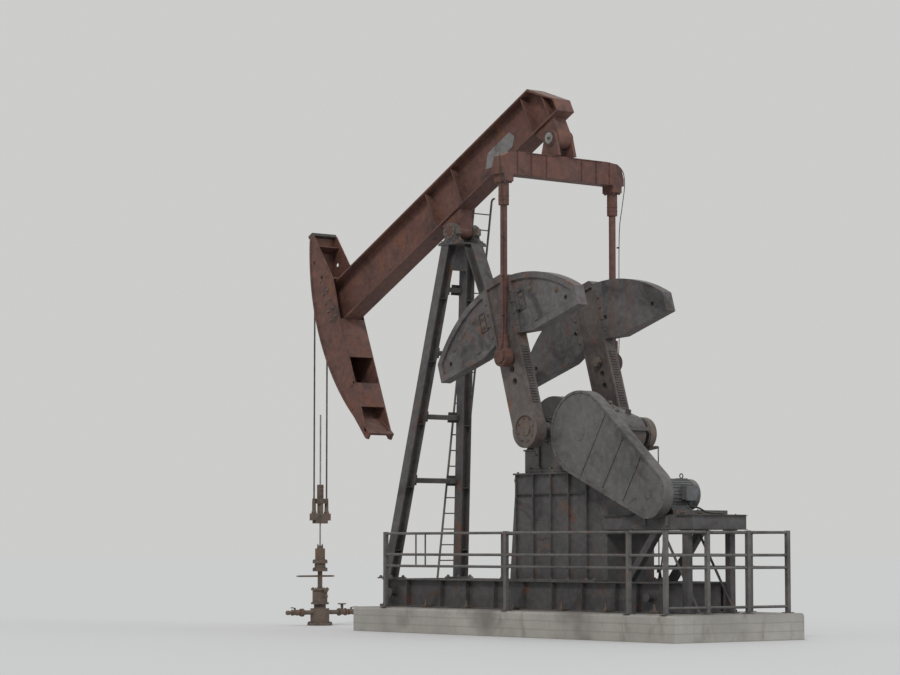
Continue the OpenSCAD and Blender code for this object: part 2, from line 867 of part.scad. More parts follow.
weight_gap = 2;
weight_recess = 40;
weight_rim = 110;
lift_hole_r = 45;

// Outline of a weight on the rear side of a crank
module weight_outline(inset) {
    intersection() {
        circle(r = weight_r - inset, $fn = 180);
        polygon([
            [crank_half_w + inset, weight_low + 110 + inset / 2], [crank_half_w + 420, weight_low + inset],
            [weight_side - inset, weight_low + inset], [weight_side - inset, weight_r + over],
            [crank_half_w + inset, weight_r + over]
        ]);
    }
}

module weight_far_rear() {
    y0 = crank_y + (crank_t - weight_t) / 2;
    y1 = y0 + weight_t;
    color("firebrick") on_crank() difference() {
        side(y0, y1) weight_outline(0);
        side(y1 - weight_recess, y1 + over) weight_outline(weight_rim);
        for (p = [[crank_half_w + 130, weight_low + 470], [weight_side - 320, weight_low + 250]])
            bar_y(p[0], p[1], lift_hole_r, y0 - over, y1 + over);
    }
}

// A weight of the crank's front side mirrors the one behind it
module weight_far_front() {
    color("firebrick") translate([shaft_x, 0, shaft_z]) rotate([0, -crank_lean, 0]) mirror([1, 0, 0])
        rotate([0, crank_lean, 0]) translate([-shaft_x, 0, -shaft_z]) weight_far_rear();
}

module weight_near_rear() {
    mirror([0, 1, 0]) weight_far_rear();
}

module weight_near_front() {
    mirror([0, 1, 0]) weight_far_front();
}

// Walking beam

module walking_beam() {
    half = beam_w / 2;
    low = beam_drop;
    slope_x = beam_tail_end - beam_top_end;
    slope_z = beam_top - low - beam_end_h;
    stations = [-450, 430, tail_r - 400, tail_r + 120];
    color("maroon") on_beam() {
        side(-half, half) {
            translate([-beam_front_end, low]) square([beam_front_end + beam_tail_end, beam_flange_t]);
            translate([-beam_front_end, beam_top - beam_flange_t])
                square([beam_front_end + beam_top_end, beam_flange_t]);
            polygon([
                [beam_top_end, beam_top], [beam_tail_end, low + beam_end_h],
                [beam_tail_end - beam_flange_t, low + beam_end_h],
                [beam_top_end - beam_flange_t, beam_top - beam_flange_t * slope_z / slope_x]
            ]);
            translate([beam_tail_end - beam_flange_t, low]) square([beam_flange_t, beam_end_h]);
        }
        side(-beam_web_t / 2, beam_web_t / 2) polygon([
            [-beam_front_end, low], [beam_tail_end, low], [beam_tail_end, low + beam_end_h],
            [beam_top_end, beam_top], [-beam_front_end, beam_top]
        ]);
        for (x = stations)
            block([x, -half + 20, low + 1],
                  [x + stiffener_t, half - 20, beam_top - max(0, x + stiffener_t - beam_top_end) * slope_z / slope_x - 20]);
    }
}

saddle_arm = 155;

module saddle_shaft() {
    color("dimgray") on_beam() {
        bar_y(0, 0, saddle_shaft_r, -saddle_out - 20, saddle_out + 20);
        side(-saddle_arm, saddle_arm) {
            circle(r = saddle_round - 30);
            polygon([[-saddle_round + 30, 0], [saddle_round - 30, 0], [300, beam_drop - 40],
                     [300, beam_drop], [-300, beam_drop], [-300, beam_drop - 40]]);
        }
    }
}

tail_pin_r = 70;
tail_round = 190;
tail_half = 150;

module tail_bearing() {
    color("dimgray") on_beam() side(-tail_half, tail_half) difference() {
        union() {
            translate([tail_r, 0]) circle(r = tail_round);
            polygon([[tail_r - tail_round, 0], [tail_r + tail_round, 0], [tail_r + tail_round, beam_drop],
                     [tail_r - tail_round - 160, beam_drop], [tail_r - tail_round - 160, beam_drop - 60]]);
        }
        translate([tail_r, 0]) circle(r = tail_pin_r + run_gap);
    }
}

// Horsehead

// Heights of the head's lower back plates, from the beam's line
head_tip = -head_r * sin(head_down);
head_top = head_r * sin(head_up);

// Back edge of the lower head at a height below the beam
function back_x(n) = -head_back_low - (head_r * cos(head_down) - head_back_low) * (beam_drop - n) / (beam_drop - head_tip);

module head_outline() {
    top_x = head_r * cos(head_up) - 125;
    intersection() {
        circle(r = head_r, $fn = 180);
        polygon([
            [-top_x, head_top], [-head_back_top, beam_top], [-head_back_low, beam_drop],
            [back_x(head_tip), head_tip], [-2 * head_r, head_tip], [-2 * head_r, head_top]
        ]);
    }
}

module head_plate_far() {
    color("maroon") on_beam() side(head_w / 2 - head_plate_t, head_w / 2) difference() {
        head_outline();
        translate([-head_back_top - 420, beam_top + 620]) circle(r = 40);
        translate([-head_back_top - 330, beam_top + 220]) circle(r = 40);
    }
}

module head_plate_near() {
    mirror([0, 1, 0]) head_plate_far();
}

module head_face() {
    half = head_w / 2 - head_plate_t;
    color("maroon") on_beam() side(-half, half) intersection() {
        difference() {
            circle(r = head_r, $fn = 180);
            circle(r = head_r - head_plate_t, $fn = 180);
        }
        translate([-2 * head_r, head_tip]) square([2 * head_r, head_top - head_tip]);
    }
}

// A plate across the lower back of the head, between two heights
module back_plate(n0, n1) {
    polygon([[back_x(n0), n0], [back_x(n1), n1], [back_x(n1) - head_plate_t, n1], [back_x(n0) - head_plate_t, n0]]);
}

module head_cross_plates() {
    half = head_w / 2 - head_plate_t;
    face = head_r - head_plate_t;
    color("maroon") on_beam() side(-half, half) {
        // Seats above and below the beam
        intersection() {
            union() {
                translate([-head_r, beam_top]) square([head_r - head_back_top, 2 * head_plate_t]);
                translate([-head_r, beam_drop - 2 * head_plate_t]) square([head_r - head_back_low, 2 * head_plate_t]);
            }
            circle(r = face, $fn = 360);
        }
        back_plate(head_tip * 0.23, beam_drop - 2 * head_plate_t);
        back_plate(head_tip * 0.73, head_tip * 0.49);
    }
    color("maroon") on_beam() side(-half, half) intersection() {
        circle(r = face, $fn = 360);
        translate([-head_r, head_top - 260]) square([head_r * (1 - cos(head_up)) + 100, head_plate_t]);
    }
}

anchor_gap = 3.2;
rope_start = tilt + 0.01;
rope_stop = head_up - 0.35;

module rope_anchors() {
    top_x = head_r * cos(head_up);
    half = head_w / 2;
    color("dimgray") on_beam() {
        side(-half, half) translate([-top_x - 40, head_top]) square([150, 60]);
        both_sides() translate([0, rope_gap / 2, 0]) rotate([90, 0, 0]) rotate([0, 0, 180 - rope_stop])
            rotate_extrude(angle = rope_stop - rope_start) translate([-rope_x, 0]) circle(r = rope_r);
        both_sides() block([-top_x - 150, rope_gap / 2 - 35, head_top - 60],
                           [-top_x - 40, rope_gap / 2 + 35, head_top + 60]);
    }
}

// Equalizer and pitmans

wrist_half = 85;
wrist_round = 175;
sleeve_r = 95;
sleeve_h = 420;
lug_in = tail_half + 5;
lug_t = 60;
equalizer_wall = 120;

module equalizer() {
    top = -equalizer_drop;
    low = top - equalizer_h;
    half = equalizer_half;
    color("maroon") on_tail() {
        front(-equalizer_t / 2, equalizer_t / 2) difference() {
            polygon([
                [-half, low], [half, low], [half, low + equalizer_wall], [half - 60, top - 90],
                [half - 160, top - 25], [half - 420, top], [-half + 420, top], [-half + 160, top - 25],
                [-half + 60, top - 90], [-half, low + equalizer_wall]
            ]);
        }
        both_sides() side(lug_in, lug_in + lug_t) difference() {
            union() {
                circle(r = tail_round - 30);
                polygon([[-tail_round + 30, 0], [tail_round - 30, 0], [tail_round + 60, top], [-tail_round - 60, top]]);
            }
            circle(r = tail_pin_r + run_gap);
        }
        both_sides() block([-equalizer_t / 2, pitman_y - 105, low - 130], [equalizer_t / 2, pitman_y + 105, low]);
    }
}

module tail_pin() {
    out = lug_in + lug_t;
    color("silver") on_tail() {
        bar_y(0, 0, tail_pin_r, -out, out);
        both_sides() bar_y(0, 0, tail_pin_r + 35, out, out + 25);
    }
}

module pitman_far() {
    top = -equalizer_drop - equalizer_h - 130;
    low = -pitman_len + wrist_round - 20;
    color("maroon") on_tail() translate([0, pitman_y, 0]) {
        translate([0, 0, low]) cylinder(d = pitman_d, h = top - low);
        translate([0, 0, top - sleeve_h]) cylinder(r = sleeve_r, h = sleeve_h);
        translate([0, 0, low]) cylinder(r = sleeve_r, h = sleeve_h * 0.6);
    }
}

module pitman_near() {
    mirror([0, 1, 0]) pitman_far();
}

module wrist_bearing_far() {
    seat = wrist_round - 20;
    color("maroon") on_tail() {
        difference() {
            union() {
                bar_y(0, -pitman_len, wrist_round, pitman_y - wrist_half, pitman_y + wrist_half);
                block([-sleeve_r, pitman_y - wrist_half, -pitman_len],
                      [sleeve_r, pitman_y + wrist_half, -pitman_len + seat]);
            }
            block([-wrist_round, 0, -pitman_len + seat], [wrist_round, 2 * pitman_y, 0]);
        }
        bar_y(0, -pitman_len, wrist_hole_r, crank_out + pass_gap, pitman_y - wrist_half);
        bar_y(0, -pitman_len, wrist_round - 60, pitman_y + wrist_half, pitman_y + wrist_half + 30);
    }
}

module wrist_bearing_near() {
    mirror([0, 1, 0]) wrist_bearing_far();
}

// Bridle, carrier and polished rod

socket_r = 36;
socket_h = 300;

module carrier_bar() {
    top = carrier_z + carrier_h;
    clamp_z = top + 200;
    color("dimgray") difference() {
        union() {
            block([rope_x - 60, -carrier_w / 2, carrier_z + 60], [rope_x + 60, carrier_w / 2, top]);
            block([rope_x - 60, -carrier_w / 2 + 70, carrier_z], [rope_x + 60, carrier_w / 2 - 70, carrier_z + 60]);
            both_sides() translate([rope_x, rope_gap / 2, top]) cylinder(r = socket_r, h = socket_h);
            translate([rope_x, 0, top]) cylinder(r = 60, h = 200);
            block([rope_x - 70, -110, clamp_z], [rope_x + 70, 110, clamp_z + 100]);
            block([rope_x - 50, -45, clamp_z + 100], [rope_x + 50, 45, clamp_z + 380]);
        }
        translate([rope_x, 0, carrier_z - over]) cylinder(d = rod_d, h = carrier_h + 1000);
    }
}

rod_bore = rod_core_d + 2;
rod_low = 145;
rod_cap = 10;

module polished_rod() {
    color("silver") translate([rope_x, 0, rod_low]) difference() {
        cylinder(d = rod_d, h = rod_top - rod_low);
        translate([0, 0, -over]) cylinder(d = rod_bore, h = rod_top - rod_low - rod_cap + over);
    }
}

module bridle_ropes() {
    z0 = carrier_z + carrier_h + socket_h;
    color("black") both_sides() translate([rope_x, rope_gap / 2, z0]) cylinder(r = rope_r, h = saddle_z - z0);
}

concrete_slab();
skid_rail_near();
skid_rail_far();
skid_crossbeams();
pedestal();
gearbox();
brake_drum();
front_leg_near();
front_leg_far();
front_braces();
rear_leg();
post_head();
saddle_blocks();
ladder();
platform_frame();
platform_deck();
platform_legs();
motor();
motor_slides();
belt_guard();
guard_posts();
guard_rails_near();
guard_rails_far();
guard_rails_rear();
wellhead();
stuffing_box();
well_valve();
well_rod();
slow_shaft();
crank_near();
crank_far();
weight_near_front();
weight_near_rear();
weight_far_front();
weight_far_rear();
walking_beam();
saddle_shaft();
tail_bearing();
head_plate_near();
head_plate_far();
head_face();
head_cross_plates();
rope_anchors();
equalizer();
tail_pin();
pitman_near();
pitman_far();
wrist_bearing_near();
wrist_bearing_far();
carrier_bar();
polished_rod();
bridle_ropes();
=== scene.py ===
"""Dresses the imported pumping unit: weathered paint, rust, concrete, wire rope, bolts and small fittings."""
import math

import bpy
from mathutils import Matrix, Vector


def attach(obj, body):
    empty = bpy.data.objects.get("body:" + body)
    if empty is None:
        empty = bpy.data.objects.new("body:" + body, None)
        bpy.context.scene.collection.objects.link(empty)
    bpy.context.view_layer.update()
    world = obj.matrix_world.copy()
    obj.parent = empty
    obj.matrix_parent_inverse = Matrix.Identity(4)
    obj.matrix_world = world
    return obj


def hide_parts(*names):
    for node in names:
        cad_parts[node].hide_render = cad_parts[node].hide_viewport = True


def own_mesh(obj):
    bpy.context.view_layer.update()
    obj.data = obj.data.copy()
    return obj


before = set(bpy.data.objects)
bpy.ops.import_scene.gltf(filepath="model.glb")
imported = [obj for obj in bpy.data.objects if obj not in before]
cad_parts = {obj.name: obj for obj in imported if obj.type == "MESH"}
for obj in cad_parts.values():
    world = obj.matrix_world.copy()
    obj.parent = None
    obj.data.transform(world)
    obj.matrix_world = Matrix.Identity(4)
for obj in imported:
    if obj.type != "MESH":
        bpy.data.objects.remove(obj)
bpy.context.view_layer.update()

# The sizes that part.scad gives, in metres
SADDLE_Z = 7.520
SHAFT = Vector((3.210, 0, 3.640))
CRANK_R = 1.360
CRANK_LEAN = math.radians(17.3)
PITMAN = 4.030
TAIL_R = 3.160
WRIST = SHAFT + CRANK_R * Vector((-math.sin(CRANK_LEAN), 0, math.cos(CRANK_LEAN)))


def tail_place():
    """Where the tail bearing stands at rest, from the linkage's lengths."""
    dx = WRIST.x
    dz = WRIST.z - SADDLE_Z
    d = math.hypot(dx, dz)
    a = (TAIL_R ** 2 - PITMAN ** 2 + d * d) / (2 * d)
    h = math.sqrt(TAIL_R ** 2 - a * a)
    return Vector(((a * dx - h * dz) / d, 0, SADDLE_Z + (a * dz + h * dx) / d))


TAIL = tail_place()
TILT = math.atan2(TAIL.z - SADDLE_Z, TAIL.x)


def lean(origin, angle):
    """A frame at an origin, leaned about Y so that its X axis rises by an angle."""
    return Matrix.Translation(origin) @ Matrix.Rotation(-angle, 4, "Y")


BEAM = lean((0, 0, SADDLE_Z), TILT)
CRANK = lean(SHAFT, CRANK_LEAN)
EQUAL = lean(TAIL, math.atan2(WRIST.x - TAIL.x, TAIL.z - WRIST.z))
SKID_TOP = 0.975
POST_LEAN = math.atan2(1.000, 7.260 - SKID_TOP)
POST = lean((-1.110, 0, SKID_TOP), -POST_LEAN)
WORLD = Matrix.Identity(4)
WELL_X = -4.568


# Camera

def camera():
    """The photograph's place and angle, tilted up so that no shift is needed."""
    turn = math.radians(51.5)
    tilt = math.radians(4.4624)
    data = bpy.data.cameras.new("camera")
    data.lens = 107.31
    data.sensor_width = 36.0
    data.clip_end = 400
    cam = bpy.data.objects.new("camera", data)
    cam.location = (39.46, -31.68, 1.57)
    cam.rotation_euler = (math.radians(90) + tilt, 0, turn)
    bpy.context.scene.collection.objects.link(cam)
    bpy.context.scene.camera = cam


camera()


# Materials

class Nodes:
    """Short names for the nodes of one material."""

    def __init__(self, name):
        self.mat = bpy.data.materials.new(name)
        self.mat.use_nodes = True
        self.tree = self.mat.node_tree
        self.tree.nodes.clear()
        self.bsdf = self.new("BsdfPrincipled")
        self.link(self.bsdf, "BSDF", self.new("OutputMaterial"), "Surface")
        self.coord = self.new("TexCoord")

    def new(self, kind):
        return self.tree.nodes.new("ShaderNode" + kind)

    def link(self, a, out, b, into):
        self.tree.links.new(a.outputs[out], b.inputs[into])

    def place(self, scale=(1, 1, 1)):
        node = self.new("Mapping")
        node.inputs["Scale"].default_value = scale
        self.link(self.coord, "Object", node, "Vector")
        return node

    def noise(self, scale, detail=4.0, rough=0.6, stretch=(1, 1, 1), distort=0.0):
        node = self.new("TexNoise")
        node.inputs["Scale"].default_value = scale
        node.inputs["Detail"].default_value = detail
        node.inputs["Roughness"].default_value = rough
        node.inputs["Distortion"].default_value = distort
        self.link(self.place(stretch), "Vector", node, "Vector")
        return node

    def ramp(self, source, out, stops):
        node = self.new("ValToRGB")
        ramp = node.color_ramp
        while len(ramp.elements) < len(stops):
            ramp.elements.new(0.5)
        for element, (at, colour) in zip(ramp.elements, stops):
            element.position = at
            element.color = colour if len(colour) == 4 else (*colour, 1)
        self.link(source, out, node, "Fac")
        return node

    def mask(self, source, out, low, high):
        return self.ramp(source, out, [(low, (0, 0, 0)), (high, (1, 1, 1))])

    def mix(self, fac, fac_out, a, b, blend="MIX"):
        node = self.new("Mix")
        node.data_type = "RGBA"
        node.blend_type = blend
        if fac is None:
            node.inputs[0].default_value = fac_out
        else:
            self.tree.links.new(fac.outputs[fac_out], node.inputs[0])
        for value, socket in ((a, node.inputs[6]), (b, node.inputs[7])):
            if isinstance(value, tuple) and not hasattr(value[0], "outputs"):
                socket.default_value = (*value, 1)
            else:
                self.tree.links.new(value[0].outputs[value[1]], socket)
        return (node, 2)

    def times(self, a, a_out, b, b_out=None, kind="MULTIPLY"):
        node = self.new("Math")
        node.operation = kind
        node.use_clamp = True
        self.link(a, a_out, node, 0)
        if b_out is None:
            node.inputs[1].default_value = b
        else:
            self.link(b, b_out, node, 1)
        return node

    def facing_up(self, low=0.35, high=0.9):
        """How much a face looks up, for dust."""
        geo = self.new("NewGeometry")
        split = self.new("SeparateXYZ")
        self.link(geo, "Normal", split, "Vector")
        return self.mask(split, "Z", low, high)

    def colour(self, value):
        self.tree.links.new(value[0].outputs[value[1]], self.bsdf.inputs["Base Color"])

    def roughness(self, low, high, source, out):
        node = self.new("MapRange")
        node.inputs["To Min"].default_value = low
        node.inputs["To Max"].default_value = high
        self.link(source, out, node, "Value")
        self.link(node, "Result", self.bsdf, "Roughness")

    def rounded(self, radius):
        """The normal with sharp edges rounded off, and a mask of those edges."""
        bevel = self.new("Bevel")
        bevel.samples = 4
        bevel.inputs["Radius"].default_value = radius
        geo = self.new("NewGeometry")
        dot = self.new("VectorMath")
        dot.operation = "DOT_PRODUCT"
        self.link(bevel, "Normal", dot, 0)
        self.link(geo, "Normal", dot, 1)
        return bevel, self.ramp(dot, "Value", [(0.80, (1, 1, 1)), (0.985, (0, 0, 0))])

    def bump(self, source, out, strength, distance, base=None):
        node = self.new("Bump")
        if base:
            self.link(base, "Normal", node, "Normal")
        node.inputs["Strength"].default_value = strength
        node.inputs["Distance"].default_value = distance
        self.link(source, out, node, "Height")
        self.link(node, "Normal", self.bsdf, "Normal")


RUST_DARK = (0.085, 0.034, 0.018)
RUST_LIGHT = (0.23, 0.095, 0.042)
DUST = (0.26, 0.235, 0.20)
EDGE = (0.185, 0.115, 0.078)
GRIME = (0.020, 0.017, 0.016)


def worn_paint(name, base, second, rust=0.5, dust=0.4, gloss=0.55, scale=1.0, streak=0.5, grime=0.55):
    """Old paint: two tones, rust in patches and runs, chipped edges, oil stains, and dust on top."""
    n = Nodes(name)
    broad = n.noise(0.9 * scale, 5, 0.62)
    fine = n.noise(9 * scale, 6, 0.65)
    tone = n.mask(broad, "Fac", 0.36, 0.66)
    body = n.mix(tone, "Color", base, second)
    speck = n.mask(fine, "Fac", 0.40, 0.68)
    dark = tuple(c * 0.72 for c in base)
    light = tuple(c * 1.25 for c in second)
    body = n.mix(None, 0.35, body, n.mix(speck, "Color", dark, light))
    patch = n.noise(2.3 * scale, 9, 0.68, distort=0.5)
    patches = n.mask(patch, "Fac", 0.66 - 0.16 * rust, 0.74 - 0.12 * rust)
    runs = n.noise(7.0 * scale, 5, 0.55, stretch=(1, 1, 0.07))
    run_mask = n.mask(runs, "Fac", 0.60 - 0.07 * streak, 0.76 - 0.05 * streak)
    run_part = n.times(run_mask, "Color", 0.55 * streak)
    grain = n.noise(34 * scale, 5, 0.7)
    rusty = n.mix(n.mask(grain, "Fac", 0.38, 0.66), "Color", RUST_DARK, RUST_LIGHT)
    body = n.mix(run_part, "Value", body, rusty)
    body = n.mix(n.times(patches, "Color", min(1.0, 0.35 + 0.6 * rust)), "Value", body, rusty)
    bevel, edge = n.rounded(0.010)
    chips = n.times(edge, "Color", n.mask(fine, "Fac", 0.42, 0.60), "Color")
    body = n.mix(n.times(chips, "Value", 0.3 + 0.5 * rust), "Value", body, EDGE)
    stain = n.noise(1.5 * scale, 7, 0.64, distort=0.9)
    body = n.mix(n.times(n.mask(stain, "Fac", 0.53, 0.66), "Color", grime), "Value", body, GRIME)
    up = n.facing_up()
    settle = n.times(up, "Color", n.mask(fine, "Fac", 0.2, 0.72), "Color")
    body = n.mix(n.times(settle, "Value", dust), "Value", body, DUST)
    n.colour(body)
    n.roughness(gloss, 0.92, patch, "Fac")
    n.bump(grain, "Fac", 0.22, 0.0035, bevel)
    return n.mat


def concrete_material():
    n = Nodes("concrete")
    broad = n.noise(0.7, 6, 0.65)
    body = n.mix(n.mask(broad, "Fac", 0.35, 0.68), "Color", (0.27, 0.255, 0.23), (0.40, 0.38, 0.345))
    grit = n.noise(60, 4, 0.8)
    body = n.mix(n.times(n.mask(grit, "Fac", 0.42, 0.66), "Color", 0.4), "Value", body, (0.20, 0.19, 0.175))
    stain = n.noise(3.2, 8, 0.7, stretch=(1, 1, 0.35), distort=0.6)
    body = n.mix(n.times(n.mask(stain, "Fac", 0.55, 0.68), "Color", 0.55), "Value", body, (0.15, 0.125, 0.10))
    oil = n.noise(0.55, 4, 0.55)
    body = n.mix(n.times(n.mask(oil, "Fac", 0.56, 0.66), "Color", 0.6), "Value", body, (0.085, 0.075, 0.065))
    boards = n.new("TexWave")
    boards.bands_direction = "Z"
    boards.inputs["Scale"].default_value = 2.1
    boards.inputs["Distortion"].default_value = 0.6
    n.link(n.coord, "Object", boards, "Vector")
    line = n.mask(boards, "Fac", 0.0, 0.10)
    body = n.mix(line, "Color", n.mix(None, 0.35, body, (0.16, 0.15, 0.135)), body)
    n.colour(body)
    n.roughness(0.82, 0.96, broad, "Fac")
    n.bump(grit, "Fac", 0.35, 0.004)
    return n.mat


def steel_material(name, base, rough=0.35, rust=0.2, metallic=0.9):
    """Bare metal with a little grease and rust."""
    n = Nodes(name)
    turned = n.noise(120, 2, 0.5, stretch=(1, 1, 0.05))
    smear = n.noise(5, 6, 0.6)
    body = n.mix(n.mask(smear, "Fac", 0.4, 0.7), "Color", base, tuple(c * 0.6 for c in base))
    patch = n.noise(14, 7, 0.7)
    rusty = n.mask(patch, "Fac", 0.62 - 0.2 * rust, 0.72)
    body = n.mix(n.times(rusty, "Color", rust), "Value", body, RUST_LIGHT)
    n.colour(body)
    n.bsdf.inputs["Metallic"].default_value = metallic
    n.roughness(rough, min(0.9, rough + 0.35), smear, "Fac")
    n.bump(turned, "Fac", 0.08, 0.001)
    return n.mat


MATS = {
    "concrete": concrete_material(),
    "frame": worn_paint("frame_paint", (0.058, 0.055, 0.056), (0.098, 0.092, 0.090), rust=0.55, dust=0.22),
    "beam": worn_paint("beam_paint", (0.078, 0.032, 0.027), (0.150, 0.068, 0.050),
                       rust=0.7, dust=0.22, streak=0.6),
    "crank": worn_paint("crank_paint", (0.070, 0.058, 0.054), (0.130, 0.108, 0.098),
                        rust=0.6, dust=0.25, streak=0.7),
    "weight": worn_paint("cast_weight", (0.060, 0.055, 0.056), (0.140, 0.128, 0.126),
                         rust=0.55, dust=0.25, streak=0.8, grime=0.7),
    "gear": worn_paint("gear_paint", (0.062, 0.059, 0.058), (0.105, 0.098, 0.092),
                       rust=0.35, dust=0.22, gloss=0.42),
    "guard": worn_paint("guard_paint", (0.080, 0.078, 0.076), (0.130, 0.124, 0.118),
                        rust=0.4, dust=0.22, streak=0.4),
    "ladder": worn_paint("ladder_paint", (0.110, 0.104, 0.096), (0.165, 0.150, 0.130),
                         rust=0.6, dust=0.2, scale=2.0),
    "motor": worn_paint("motor_paint", (0.080, 0.085, 0.088), (0.130, 0.135, 0.135),
                        rust=0.3, dust=0.35, gloss=0.45),
    "well": worn_paint("well_iron", (0.085, 0.066, 0.052), (0.140, 0.105, 0.078),
                       rust=0.8, dust=0.3, scale=2.5),
    "bolt": worn_paint("bolt_steel", (0.090, 0.078, 0.068), (0.150, 0.120, 0.095),
                       rust=0.8, dust=0.2, scale=8.0),
    "rope": steel_material("wire_rope", (0.120, 0.112, 0.104), rough=0.55, rust=0.35, metallic=0.7),
    "machined": steel_material("machined_steel", (0.36, 0.35, 0.335), rough=0.33, rust=0.35),
    "polished": steel_material("polished_rod", (0.34, 0.33, 0.32), rough=0.24, rust=0.10, metallic=1.0),
    "plate": worn_paint("bare_plate", (0.150, 0.146, 0.142), (0.205, 0.198, 0.190),
                        rust=0.3, dust=0.1, scale=2.0),
    "rubber": worn_paint("black_hose", (0.022, 0.022, 0.023), (0.040, 0.039, 0.038),
                         rust=0.0, dust=0.3, gloss=0.6),
}

LOOKS = {
    "concrete": ["concrete_slab"],
    "frame": ["skid_rail_near", "skid_rail_far", "skid_crossbeams", "pedestal", "front_leg_near",
              "front_leg_far", "front_braces", "rear_leg", "post_head", "saddle_blocks", "platform_frame",
              "platform_deck", "platform_legs", "motor_slides"],
    "ladder": ["ladder"],
    "gear": ["gearbox", "brake_drum"],
    "motor": ["motor"],
    "guard": ["belt_guard", "guard_posts", "guard_rails_near", "guard_rails_far", "guard_rails_rear"],
    "well": ["wellhead", "stuffing_box", "well_valve", "carrier_bar"],
    "polished": ["well_rod", "polished_rod"],
    "machined": ["slow_shaft", "tail_pin"],
    "crank": ["crank_near", "crank_far"],
    "weight": ["weight_near_front", "weight_near_rear", "weight_far_front", "weight_far_rear"],
    "beam": ["walking_beam", "saddle_shaft", "tail_bearing", "head_plate_near", "head_plate_far", "head_face",
             "head_cross_plates", "equalizer", "pitman_near", "pitman_far", "wrist_bearing_near",
             "wrist_bearing_far"],
    "rope": ["rope_anchors"],
}

for look, names in LOOKS.items():
    for name in names:
        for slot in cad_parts[name].material_slots:
            slot.material = MATS[look]


# Mesh code

def around(axis):
    """A unit axis with two directions square to it."""
    axis = Vector(axis).normalized()
    side = axis.orthogonal().normalized()
    return axis, side, axis.cross(side)


def polar(r, a):
    """The two coordinates of a point at a radius and an angle."""
    return r * math.cos(a), r * math.sin(a)


def span(s, a, b):
    """Two distances from the middle plane, in rising order on side s."""
    return (a, b) if s > 0 else (-b, -a)


def skin(n, rings, closed=False):
    """Faces over rings of n points each, with a cap at either end unless the rings close."""
    faces = []
    for k in range(rings if closed else rings - 1):
        k2 = (k + 1) % rings
        for i in range(n):
            j = (i + 1) % n
            faces.append([k * n + i, k * n + j, k2 * n + j, k2 * n + i])
    if not closed:
        faces.append(list(range(n))[::-1])
        faces.append([(rings - 1) * n + i for i in range(n)])
    return faces


